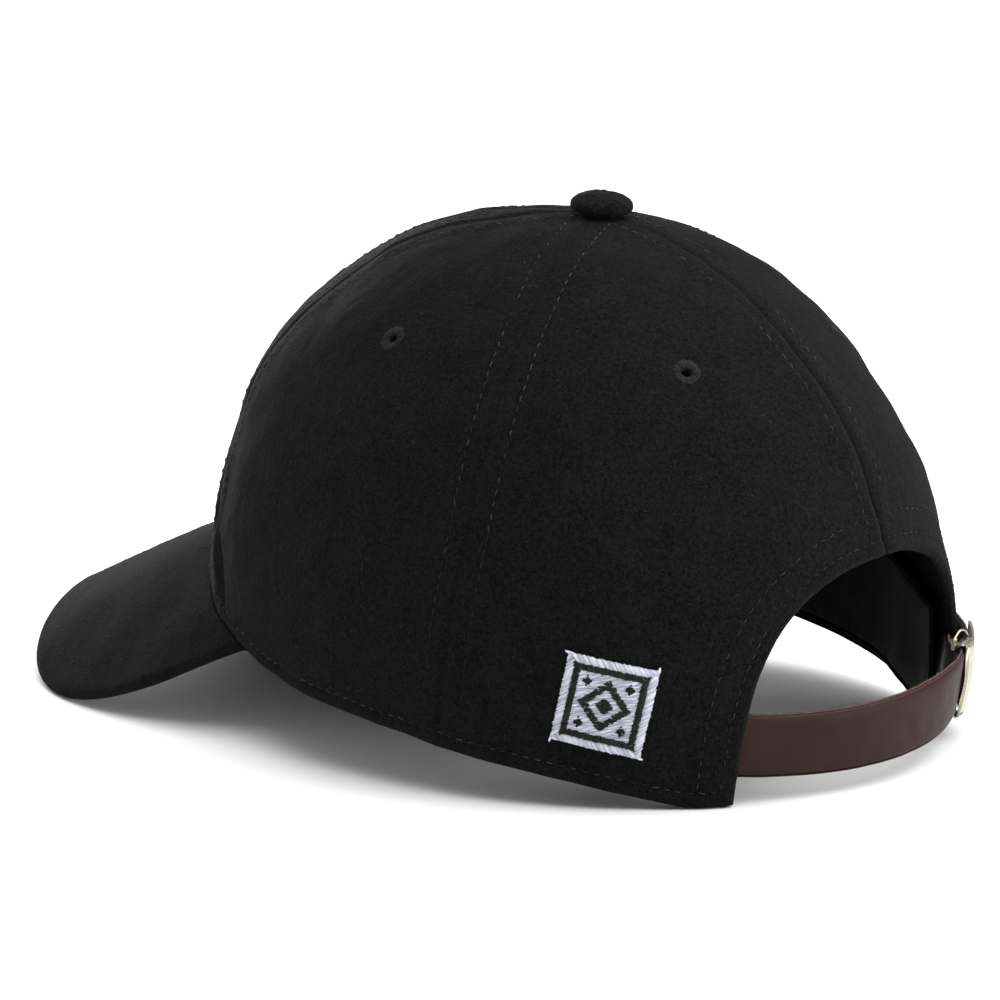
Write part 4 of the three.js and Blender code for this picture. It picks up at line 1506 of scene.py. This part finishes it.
@dataclass
class StrapAssembly:
    """The leather strap, its tab, and the clasp on the tab's end."""

    line: StrapLine
    plate_end: float = 215.2
    plate_thickness: float = 0.7
    plate_dome: float = 0.9
    play: float = 0.12
    flange_turn: float = 3.0
    bar_turn: float = 1.6
    lever_turns: Pair = (205.4, 209.4)
    pin_radius: float = 0.8
    pin_ends: Pair = (-2.4, 0.5)        # over the plate's upper rim
    wire_radius: float = 0.28
    wire_corners: tuple[tuple[float, float, float], ...] = (    # turn on, rise and way out
        (0.0, 0.3, 0.0),
        (1.2, 1.9, 1.3),
        (2.2, 1.6, 2.5),
        (2.6, 0.2, 3.3),
    )

    def band(
        self,
        body: Body,
        fine: tuple[float, ...],
        turns: Pair,
        wide: float,
        thick: float,
        middle: Callable[[Array], Array],
        outer: Callable[[Array], Array],
        dome: float = 0.0,
        wobble: float = 0.0,
    ) -> None:
        """Adds one band of the strap or the clasp, which leans out with the others.

        Args:
            body: The body that takes it.
            fine: Columns and bevel, and where wanted the points of its faces and corners.
            turns: First and last turn.
            wide: Its height.
            thick: Its thickness.
            middle: Height of its middle line at each turn.
            outer: Depth of its outer face at each turn.
            dome: Swell of its faces.
            wobble: Unevenness of its depth.
        """
        line = self.line
        Band(line.form, *fine).build(body, turns, wide, thick, middle, outer, dome, wobble, line.flare)

    def leather(self, origin: Array, finish: Finish) -> None:
        """Builds the strap and the tab."""
        line = self.line
        turns = (line.end_turn, line.tail_turn)
        strap = Body(origin)
        self.band(
            strap, (230, 0.45), turns, line.width, line.thickness, line.middle, line.outer, 0.12, 0.05
        )
        place(strap, "leather_strap", finish, ("back_strap",))

        def tab_outer(turn: Array) -> Array:
            """Depth of the tab's outer face."""
            return line.tab_inner(turn) - line.tab_thickness

        turns = (line.tab_start, line.tab_end)
        tab = Body(origin)
        self.band(
            tab, (110, 0.45), turns, line.width, line.tab_thickness, line.middle, tab_outer, 0.1, 0.04
        )
        place(tab, "leather_tab", finish, ("strap_tab",))

    def at(self, turn: float, height: float, depth: float) -> Array:
        """A point of the clasp, by its turn, height and depth under the cloth's face."""
        form = self.line.form
        where, high = np.array(turn), np.array(height)
        return form.under(where, form.fall_at_height(where, high), np.array(depth))

    def rod(self, body: Body, corners: Array, radius: float, steps: int, sides: int) -> None:
        """Adds a round rod along a smooth Catmull-Rom line through its corners.

        Args:
            body: The body that takes it.
            corners: Points that the rod passes.
            radius: Radius of the rod.
            steps: Rings from one corner to the next.
            sides: Points of a ring.
        """
        padded = np.concatenate([2 * corners[:1] - corners[1:2], corners, 2 * corners[-1:] - corners[-2:-1]])
        t = np.linspace(0, 1, steps, endpoint=False)[:, None]
        parts = []
        for a, b, c, d in zip(padded, padded[1:], padded[2:], padded[3:]):
            bend = a - 2.5 * b + 2 * c - d / 2 + t * (1.5 * (b - c) + (d - a) / 2)
            parts.append(b + t * ((c - a) / 2 + t * bend))
        path = np.concatenate(parts + [corners[-1:]])
        onward = unit(np.gradient(path, axis=0))
        side = unit(np.cross(onward, np.array([0.31, 0.52, 0.79])))
        angle = np.linspace(0, 2 * np.pi, sides, endpoint=False)
        thick = np.full(len(path), radius)
        ring = rings(path[None], side[None], np.cross(onward, side)[None], thick, angle)
        body.tubes(ring, np.zeros(1))

    def clasp(self, origin: Array, finish: Finish) -> None:
        """Builds the plate with its flanges, bar and pin, and the lever with its wire."""
        line = self.line
        start, thick = line.clasp_turn, self.plate_thickness
        reach = line.width / 2 + line.form.clearance
        rim = reach + thick

        def plate_inner(turn: Array) -> Array:
            """Depth of the plate's inner face, from a lip on the strap to over the tab."""
            over = smooth(turn, start, line.tab_start)
            high = line.tab_inner(np.maximum(turn, line.tab_start)) - line.tab_thickness - self.play
            return mix(line.outer(np.array(start)) - self.play, high, over)

        def back_face(turn: Array) -> Array:
            """Depth just behind the strap."""
            return line.outer(turn) + line.thickness + self.play

        def bar_middle(turn: Array) -> Array:
            """Height of the middle of the bar and the lever, in the plate's lower half."""
            return line.middle(turn) - reach / 2

        plate = Body(origin)
        turns = (start, self.plate_end)
        self.band(
            plate,
            (60, 0.33, 22, 6),
            turns,
            2 * rim,
            thick,
            line.middle,
            lambda turn: plate_inner(turn) - thick,
            self.plate_dome,
        )
        turns = (start + 0.05, start + self.flange_turn)
        deep = float(back_face(np.array(start)) - plate_inner(np.array(start))) + 2 * thick
        for sign in (1, -1):
            shift = sign * (reach + thick / 2)
            self.band(
                plate,
                (24, 0.3, 6, 5),
                turns,
                thick,
                deep - 0.3,
                lambda turn, shift=shift: line.middle(turn) + shift,
                lambda turn: plate_inner(turn) - thick * 0.6,
            )
        turns = (start + 0.1, start + self.bar_turn)
        self.band(plate, (10, 0.4, 16, 5), turns, reach, thick, bar_middle, back_face)
        pin_turn = start + self.bar_turn
        base = float(line.middle(np.array(pin_turn))) + rim
        stand = float(line.flare(np.array(pin_turn), np.array(base)))
        pin_depth = float(back_face(np.array(pin_turn))) + 0.4 - stand
        ends = [self.at(pin_turn, base + high, pin_depth) for high in self.pin_ends]
        self.rod(plate, np.array(ends), self.pin_radius, 12, 16)
        place(plate, "metal_clasp", finish, ("clasp_body",))

        lever = Body(origin)
        self.band(
            lever,
            (24, 0.4, 14, 5),
            self.lever_turns,
            reach,
            thick,
            bar_middle,
            lambda turn: back_face(turn) + 0.1,
            0.2,
        )
        corners = [
            self.at(pin_turn + onward, base + high, pin_depth - out)
            for onward, high, out in self.wire_corners
        ]
        self.rod(lever, np.array(corners), self.wire_radius, 10, 10)
        place(lever, "metal_lever", finish, ("clasp_lever",))


@dataclass
class Sweatband:
    """The cotton band inside the hem."""

    form: CrownForm
    line: StrapLine
    height: float = 31.0
    thickness: float = 1.2
    inset: float = 1.0
    end_turn: float = 144.0
    aside_turns: Pair = (16.0, 3.0)     # before the strap's end, where the band moves aside
    row_heights: Pair = (2.6, 28.6)
    row_margin: float = 3.0

    def outer(self, turn: Array) -> Array:
        """Depth of the outer face, which stands clear of the strap's sewn end at both ends."""
        line, form = self.line, self.form
        first, last = (line.end_turn - before for before in self.aside_turns)
        aside = smooth(np.abs(turn), first, last)
        return form.wall + form.clearance + aside * (line.thickness + form.clearance)

    def build(self, origin: Array, finish: Finish) -> None:
        """Builds the band."""
        body = Body(origin)
        Band(self.form, 300, 0.55, 16, 5).build(
            body,
            (-self.end_turn, self.end_turn),
            self.height,
            self.thickness,
            lambda turn: self.form.hem_height(turn) + self.inset + self.height / 2,
            self.outer,
            0.15,
            0.1,
        )
        place(body, "twill_sweatband", finish, ("sweatband",))

    def rows(self, body: Body, stitching: Stitching) -> None:
        """Lays two rows on the band's inner face, near its lower and upper edge."""
        last = self.end_turn - self.row_margin
        turn = np.linspace(-last, last, 900)
        for up in self.row_heights:
            fall = self.form.fall_at_height(turn, self.form.hem_height(turn) + self.inset + up)
            inward = -self.form.normal(turn, fall)
            path = self.form.under(turn, fall, self.outer(turn) + self.thickness - 0.1)
            stitching.lay(body, path, inward, (0.0, 1.0))


# Embroidered patch


@dataclass
class Patch:
    """The square patch: pale satin stitching with a dark frame and figure.

    The figure is a diamond in a diamond ring, with a small diamond towards each corner.
    """

    cloth: Cloth
    side: float = 22.4
    thickness: float = 0.45
    turn: float = 125.6
    height: float = 27.0
    tilt: float = 12.5
    thread: float = 0.52
    border: float = 2.1
    frame_inset: float = 2.0
    frame_wide: float = 1.6
    ring: Pair = (6.6, 4.2)     # reach of the ring's and its hole's corners
    core: float = 2.3
    dot: float = 1.35
    dot_away: float = 5.3       # middle to a small diamond, along and up
    brick: float = 3.4          # longest thread on a lane
    shortest: float = 0.35
    seed: int = 77

    def spot(self, a: Array, b: Array, over: Array | float) -> Array:
        """A point over the cloth, a millimetres along the patch and b up it from its middle."""
        form = self.cloth.form
        tilt = math.radians(self.tilt)
        fall = form.fall_at_height(np.array(self.turn), np.array(self.height))
        radius = float(from_axis(form.point(self.turn, float(fall))))
        turn = self.turn + np.degrees((a * math.cos(tilt) + b * math.sin(tilt)) / radius)
        height = self.height - a * math.sin(tilt) + b * math.cos(tilt)
        fall = form.fall_at_height(turn, height)
        lift = np.asarray(over) + 0 * turn + self.cloth.waves(form.point(turn, fall))
        return form.under(turn, fall, -lift)

    def base(self, origin: Array, finish: Finish) -> None:
        """Builds the backing cloth under the threads as a closed slab with soft edges."""
        t = np.linspace(-0.5, 0.5, 61)
        a, b = np.meshgrid(t * (self.side - 0.5), t[::-1] * (self.side - 0.5))
        inset = self.side / 2 - np.maximum(abs(a), abs(b))
        lift = 0.12 + self.thickness * smooth(inset, 0.1, 0.8)
        body = Body(origin)
        outer = body.add(self.spot(a, b, lift), 0.5, np.stack([a, b], -1))
        inner = body.add(self.spot(a, b, np.full_like(a, 0.02)), 0.5, np.stack([a, b], -1))
        body.grid(outer)
        body.grid(inner[::-1])
        body.strip(rim_of(outer)[::-1], rim_of(inner)[::-1])
        place(body, "patch_backing", finish, ("side_patch",))

    def threads(self, body: Body, start: Array, end: Array, over: float, tone: Pair) -> None:
        """Adds threads from start to end places, arched over the patch.

        Args:
            body: The body that takes them.
            start: Places along and up the patch, one row for each thread.
            end: The same for the other ends.
            over: Height of their ends over the cloth.
            tone: Lowest and highest shade.
        """
        draw = np.random.default_rng(self.seed + len(start))
        s = np.linspace(0, 1, 5)
        jitter = draw.normal(0, 0.08, (len(start), 2))
        flat = (start + jitter)[:, None] + (end - start)[:, None] * s[None, :, None]
        length = np.linalg.norm(end - start, axis=1)
        arch = over + 0.12 * np.minimum(length, 2.5)[:, None] * 4 * s * (1 - s)
        arch = arch + draw.normal(0, 0.02, (len(start), 1))
        centres = self.spot(flat[..., 0], flat[..., 1], arch)
        up = unit(self.spot(flat[..., 0], flat[..., 1], arch + 1) - centres)
        onward = unit(np.gradient(centres, axis=1))
        side = unit(np.cross(onward, up))
        angle = np.linspace(0, 2 * np.pi, 5, endpoint=False)
        thick = self.thread / 2 * (1 - 0.35 * (2 * s - 1) ** 4)
        made = rings(centres, 1.12 * side, 0.85 * up, thick, angle)
        lay = np.zeros(made.shape[:3] + (2,))
        lay[..., 0] = (s * length[:, None])[..., None]
        lay[..., 1] = angle * self.thread / 2
        body.tubes(made, draw.uniform(*tone, len(start)), lay)

    def square(self, body: Body, inset: float, wide: float, over: float, tone: Pair) -> None:
        """Satin stitches across the four sides of a square line."""
        half = self.side / 2 - inset
        step = self.thread * 0.92
        count = int(2 * half / step)
        t = np.linspace(-half, half, count)
        for quarter in range(4):
            angle = math.radians(90 * quarter)
            turned = np.array([[math.cos(angle), -math.sin(angle)], [math.sin(angle), math.cos(angle)]])
            lean = 0.9 * wide
            mitre = np.minimum(half - np.abs(t), wide)
            outer = np.stack([t - lean * 0.5, np.full_like(t, half)], -1)
            inner = np.stack([t + lean * 0.5, half - np.maximum(mitre, self.shortest)], -1)
            inner[:, 0] = np.clip(inner[:, 0], -half, half)
            self.threads(body, outer @ turned.T, inner @ turned.T, over, tone)

    def lanes(
        self, body: Body, lane: Array, start: Array, end: Array, over: float, tone: Pair, slant: float
    ) -> None:
        """Lays threads on level lanes, cut into bricks where they are long and sheared by a slant.

        Args:
            body: The body that takes them.
            lane: Place up the patch of each lane.
            start: Where each lane starts along the patch.
            end: Where it ends.
            over: Height over the cloth.
            tone: Lowest and highest shade.
            slant: Rise of a thread for each millimetre along it.
        """
        limit = self.side / 2 - 0.9
        shift = (np.arange(len(lane)) % 3) / 3 * self.brick
        starts, ends = [], []
        for index in range(-5, 6):
            first = np.maximum(start, index * self.brick + shift)
            last = np.minimum(end, (index + 1) * self.brick + shift)
            there = last - first > self.shortest
            for values, store in ((first, starts), (last, ends)):
                up = np.clip(lane + slant * values, -limit, limit)
                store.append(np.stack([values, up], -1)[there])
        self.threads(body, np.concatenate(starts), np.concatenate(ends), over, tone)

    def diamond(self, body: Body, centre: Pair, outer: float, inner: float, over: float) -> None:
        """Fills a diamond ring: on a lane it spans from the inner to the outer radius less its height.

        Args:
            body: The body that takes the threads.
            centre: The diamond's place on the patch.
            outer: Reach of its corners.
            inner: Reach of the hole's corners, or 0.
            over: Height over the cloth.
        """
        rows = max(3, round(2 * outer / (self.thread * 0.88)))
        lane = (np.arange(rows) + 0.5) * 2 * outer / rows - outer
        half, hole = outer - np.abs(lane), np.maximum(inner - np.abs(lane), 0)
        split = hole > 0.2
        start = np.concatenate([-half, hole[split]]) + centre[0]
        end = np.concatenate([np.where(split, -hole, half), half[split]]) + centre[0]
        self.lanes(body, np.concatenate([lane, lane[split]]) + centre[1], start, end, over, (0.2, 0.9), 0.0)

    def embroider(self, origin: Array, pale: Finish, dark: Finish) -> None:
        """Builds the pale and the dark threads."""
        light, black = Body(origin), Body(origin)
        reach = self.side / 2 - 1.2
        lane = np.arange(-reach - 2, reach + 2, self.thread * 0.9)
        ends = np.full_like(lane, reach)
        self.lanes(light, lane, -ends, ends, self.thickness - 0.08, (0.2, 1.0), 0.36)
        self.square(light, 0.0, self.border, self.thickness + 0.16, (0.25, 1.0))
        self.square(black, self.frame_inset, self.frame_wide, self.thickness + 0.3, (0.1, 0.9))
        over = self.thickness + 0.28
        self.diamond(black, (0.0, 0.0), *self.ring, over)
        self.diamond(black, (0.0, 0.0), self.core, 0.0, over)
        for x in (-self.dot_away, self.dot_away):
            for y in (-self.dot_away, self.dot_away):
                self.diamond(black, (x, y), self.dot, 0.0, over)
        place(light, "patch_pale_threads", pale)
        place(black, "patch_dark_threads", dark)


# Nap


@dataclass
class Nap:
    """Loose fibres that stand off the felted cloth, each a thin closed prism rooted in it."""

    count: int = 6000
    length: Pair = (0.7, 1.9)
    lint_count: int = 110
    lint_length: Pair = (1.0, 3.2)
    width: float = 0.06
    seed: int = 303
    stations: int = 4
    grids: list[tuple[Array, Array]] = field(default_factory=list)

    def cover(self, points: Array, up: Array) -> None:
        """Remembers a face for fibres, as a grid of points with outward directions."""
        self.grids.append((points, up))

    def scatter(self, body: Body, count: int, length: Pair) -> None:
        """Roots fibres at random cells, each cell as likely as its area is large.

        A fibre leaves its root along a random way in the cloth, bends sideways with the square of
        the way along it, and stands off by a parabola. None goes below the floor.

        Args:
            body: The body that takes them.
            count: Number of fibres.
            length: Shortest and longest.
        """
        draw = np.random.default_rng(self.seed + count)
        roots, ups, areas = [], [], []
        for points, up in self.grids:
            a, b, c, d = points[:-1, :-1], points[1:, :-1], points[1:, 1:], points[:-1, 1:]
            areas.append(np.linalg.norm(np.cross(c - a, d - b), axis=-1).ravel() / 2)
            share = draw.uniform(0, 1, a.shape[:2] + (2,))
            low = mix(a, b, share[..., :1])
            roots.append(mix(low, mix(d, c, share[..., :1]), share[..., 1:]).reshape(-1, 3))
            ups.append(up[:-1, :-1].reshape(-1, 3))
        root, up, area = np.concatenate(roots), np.concatenate(ups), np.concatenate(areas)
        chosen = draw.choice(len(root), size=count, replace=False, p=area / area.sum())
        root, up = root[chosen], up[chosen]
        way = unit(np.cross(up, draw.normal(size=(count, 3))))
        bend = np.cross(up, way)
        s = np.linspace(0, 1, self.stations)[None, :, None]
        size = draw.uniform(*length, (count, 1, 1))
        stand = draw.uniform(0.06, 0.34, (count, 1, 1))
        curl = draw.normal(0, 0.55, (count, 1, 1))
        centres = root[:, None] + size * (way[:, None] * s + bend[:, None] * curl * s * s)
        centres = centres + up[:, None] * (size * stand * (s * (1.35 - s)) - 0.06)
        centres[..., 2] = np.maximum(centres[..., 2], self.width)
        onward = unit(np.gradient(centres, axis=1))
        side = unit(np.cross(onward, up[:, None]))
        angle = np.array([0.0, 2.0, 4.0]) * np.pi / 3
        thick = self.width / 2 * (1 - 0.6 * s.ravel() ** 2)
        made = rings(centres, side, np.cross(side, onward), thick, angle)
        body.tubes(made, draw.uniform(0.0, 1.0, count))

    def build(self, origin: Array, fibre: Finish, lint: Finish) -> None:
        """Builds the dark nap and a few pale strands of lint."""
        dark = Body(origin)
        self.scatter(dark, self.count, self.length)
        place(dark, "wool_nap", fibre)
        pale = Body(origin)
        self.scatter(pale, self.lint_count, self.lint_length)
        place(pale, "pale_lint", lint)

# Rows of stitching on the crown


@dataclass
class CrownRows:
    """The rows of stitching that show on the crown."""

    cloth: Cloth
    stitching: Stitching
    button_edge: float = 5.5    # axis to a row's first stitch
    margin: float = 0.8         # hem to a row's last stitch
    nearness: float = 0.97      # share of a row's distance at which another seam ends it
    arch_shares: Pair = (0.995, 0.93)    # how much of the arch a row follows
    seam_tone: Pair = (0.12, 0.8)
    hem_tone: Pair = (0.06, 0.7)
    arch_tone: Pair = (0.08, 0.5)
    def along_seam(self, body: Body, seam: Seam, away: float, sign: int, end_above: float) -> None:
        """Lays a row beside a seam, from the button's edge down to near the hem or the arch.

        Args:
            body: The body that takes it.
            seam: The seam.
            away: Distance from the seam, towards larger turns where it is positive.
            sign: The side of the cap, as the sign of X.
            end_above: Height of the row's end over the hem or the arch.
        """
        form = self.cloth.form
        fall = np.linspace(0.03, 1.0, 640)
        radius = from_axis(form.point(seam.turn(fall), fall))
        turn = seam.turn(fall) + np.degrees(away / radius)
        points = self.cloth.face(turn, fall)
        low = form.opening_height if seam is NAPE else float(form.hem_height(np.array([seam.hem]))[0])
        shown = (radius > self.button_edge) & (points[:, 2] > low + end_above)
        for other in SEAMS:
            gap = np.radians(np.abs(turn - other.turn(fall))) * radius
            shown &= (gap > abs(away) * self.nearness) | (other is seam)
        path, up = mirrored(points[shown], sign), mirrored(form.normal(turn, fall)[shown], sign)
        self.stitching.lay(body, path, up, self.seam_tone, True)

    def along_hem(self, body: Body, sign: int) -> None:
        """Lays the hem's row, from the forehead to the opening."""
        form = self.cloth.form
        foot = float(form.opening(np.zeros(1))[0][0])
        turn = np.linspace(0.5, foot - 2.5, 800)
        fall = form.fall_at_height(turn, form.hem_height(turn) + self.cloth.hem_row)
        path, up = mirrored(self.cloth.face(turn, fall), sign), mirrored(form.normal(turn, fall), sign)
        self.stitching.lay(body, path, up, self.hem_tone)

    def along_arch(self, body: Body, away: float, sign: int, last: float) -> None:
        """Lays a row beside the opening: its edge moved over the cloth at right angles to it."""
        form = self.cloth.form
        turn, fall = form.opening(np.linspace(0.0, last, 500))
        edge = form.point(turn, fall)
        up = form.normal(turn, fall)
        sideways = unit(np.cross(up, np.gradient(edge, axis=0)))
        sideways = sideways * np.sign(sideways[:, 2:] + 1e-9)
        turn, fall = form.place_of(edge + sideways * away)
        clear = form.point(turn, fall)[:, 2] > self.cloth.hem_row
        path = mirrored(self.cloth.face(turn, fall)[clear], sign)
        up = mirrored(form.normal(turn, fall)[clear], sign)
        self.stitching.lay(body, path, up, self.arch_tone)

    def build(self, body: Body) -> None:
        """Lays all rows."""
        away = self.cloth.row_away
        sides = {FOREHEAD: (away,), NAPE: (-away,)}
        for seam in SEAMS:
            end = self.cloth.arch_rows[0] if seam is NAPE else self.margin
            for sign in (1, -1):
                for shift in sides.get(seam, (away, -away)):
                    self.along_seam(body, seam, shift, sign, end)
        for sign in (1, -1):
            self.along_hem(body, sign)
            for shift, last in zip(self.cloth.arch_rows, self.arch_shares):
                self.along_arch(body, shift, sign, last)


# Studio


@dataclass(frozen=True)
class Studio:
    """Pale floor, soft light and the camera at the photograph's angle."""

    azimuth: float = 125.71
    elevation: float = 12.85
    distance: float = 1769.15
    aim: tuple[float, float, float] = (6.16, -26.97, 55.91)
    focal: float = 6925.6       # pixels in a picture of 1000
    picture: float = 1000.0
    sensor: float = 36.0
    floor_half: float = 6.0     # metres
    lit: tuple[float, float, float] = (0.0, 0.0, 0.07)      # where the lamps point, in metres
    room: float = 0.45          # strength of the white surroundings
    lamps: tuple[tuple[str, tuple[float, float, float], float, float], ...] = (
        ("overhead_softbox", (-0.2, 0.3, 1.8), 2.6, 72.0),
        ("back_softbox", (-0.6, 1.5, 0.5), 0.8, 15.0),
        ("front_softbox", (-0.9, -1.3, 0.22), 0.6, 19.0),
    )

    def stand(self, name: str, data: bpy.types.ID, where: Vector, way: Vector) -> bpy.types.Object:
        """Puts a camera or light at a place, looking along a direction, and gives it."""
        made = bpy.data.objects.new(name, data)
        made.location = where
        made.rotation_mode = "QUATERNION"
        made.rotation_quaternion = way.to_track_quat("-Z", "Y")
        bpy.context.scene.collection.objects.link(made)
        return made

    def camera(self, origin: Array) -> None:
        """Makes the camera, looking along its own direction at the aim point beside the axis."""
        turn, rise = math.radians(self.azimuth), math.radians(self.elevation)
        back = Vector((math.sin(turn) * math.cos(rise), -math.cos(turn) * math.cos(rise), math.sin(rise)))
        data = bpy.data.cameras.new("camera")
        data.sensor_width = self.sensor
        data.lens = self.focal * self.sensor / self.picture
        data.clip_end = 100.0
        eye = (Vector(self.aim) + Vector(origin) + back * self.distance) * METRE
        bpy.context.scene.camera = self.stand("camera", data, eye, -back)

    def floor(self) -> None:
        """Makes a wide, plain, pale floor."""
        data = bpy.data.meshes.new("floor")
        half = self.floor_half
        corners = [(-half, -half, 0), (half, -half, 0), (half, half, 0), (-half, half, 0)]
        data.from_pydata(corners, [], [(0, 1, 2, 3)])
        plane = bpy.data.objects.new("floor", data)
        bpy.context.scene.collection.objects.link(plane)
        data.materials.append(Graph("pale_floor").surface((0.9, 0.9, 0.9, 1), 0.7, 0.3))

    def lamp(self, name: str, place_at: tuple[float, float, float], size: float, power: float) -> None:
        """Makes a square area light that faces the cap."""
        data = bpy.data.lights.new(name, "AREA")
        data.shape = "SQUARE"
        data.size = size
        data.energy = power
        where = Vector(place_at)
        self.stand(name, data, where, Vector(self.lit) - where)

    def build(self, origin: Array) -> None:
        """Sets up camera, floor, white surroundings and lights."""
        self.camera(origin)
        self.floor()
        world = bpy.data.worlds.new("white_room")
        world.use_nodes = True
        background = world.node_tree.nodes["Background"].inputs
        background["Color"].default_value = (1, 1, 1, 1)
        background["Strength"].default_value = self.room
        bpy.context.scene.world = world
        bpy.context.scene.view_settings.view_transform = "Standard"
        for lamp in self.lamps:
            self.lamp(*lamp)


def axis_origin(form: CrownForm) -> Array:
    """Place of the button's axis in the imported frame: behind the front panel by the hem's reach."""
    low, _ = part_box("front_left_panel")
    return np.array([0.0, low[1] / METRE + float(form.section(np.zeros(1))[0][0]), 0.0])


def main() -> None:
    """Builds the studio and each sub-assembly in order."""
    logging.basicConfig(level=logging.INFO, format="%(name)s: %(message)s")
    form = CrownForm()
    cloth = Cloth(form)
    origin = axis_origin(form)
    Studio().build(origin)
    log.info("button axis at y %.3f mm", origin[1])
    wool = MeltonWool()
    nap = Nap()
    for side in Side:
        for kind in PanelKind:
            nap.cover(*CrownPanel(cloth, kind, side).build(origin, wool))
            SewnEyelet(cloth, kind, side).build(origin, eyelet_thread())
    nap.cover(*CoveredButton(form).build(origin, wool))
    bill = Bill(form)
    nap.cover(*bill.build(origin, wool))
    line = StrapLine(form)
    band = Sweatband(form, line)
    band.build(origin, Twill())
    straps = StrapAssembly(line)
    straps.leather(origin, Leather())
    straps.clasp(origin, PaleMetal())
    patch = Patch(cloth)
    patch.base(origin, pale_thread())
    patch.embroider(origin, pale_thread(), dark_thread())
    rows = Body(origin)
    CrownRows(cloth, Stitching()).build(rows)
    place(rows, "crown_stitching", Thread())
    sunk = Body(origin)
    bill.stitch(sunk, Stitching(rise=0.0, seed=51))
    band.rows(sunk, Stitching(rise=0.12, seed=52))
    place(sunk, "bill_and_band_stitching", sunk_thread())
    fibre = MeltonWool("wool_fibre", dark=0.007, light=0.02)
    nap.build(origin, fibre, Thread("lint", "wool", grey(0.02), grey(0.09)))


if __name__ == "__main__":
    main()
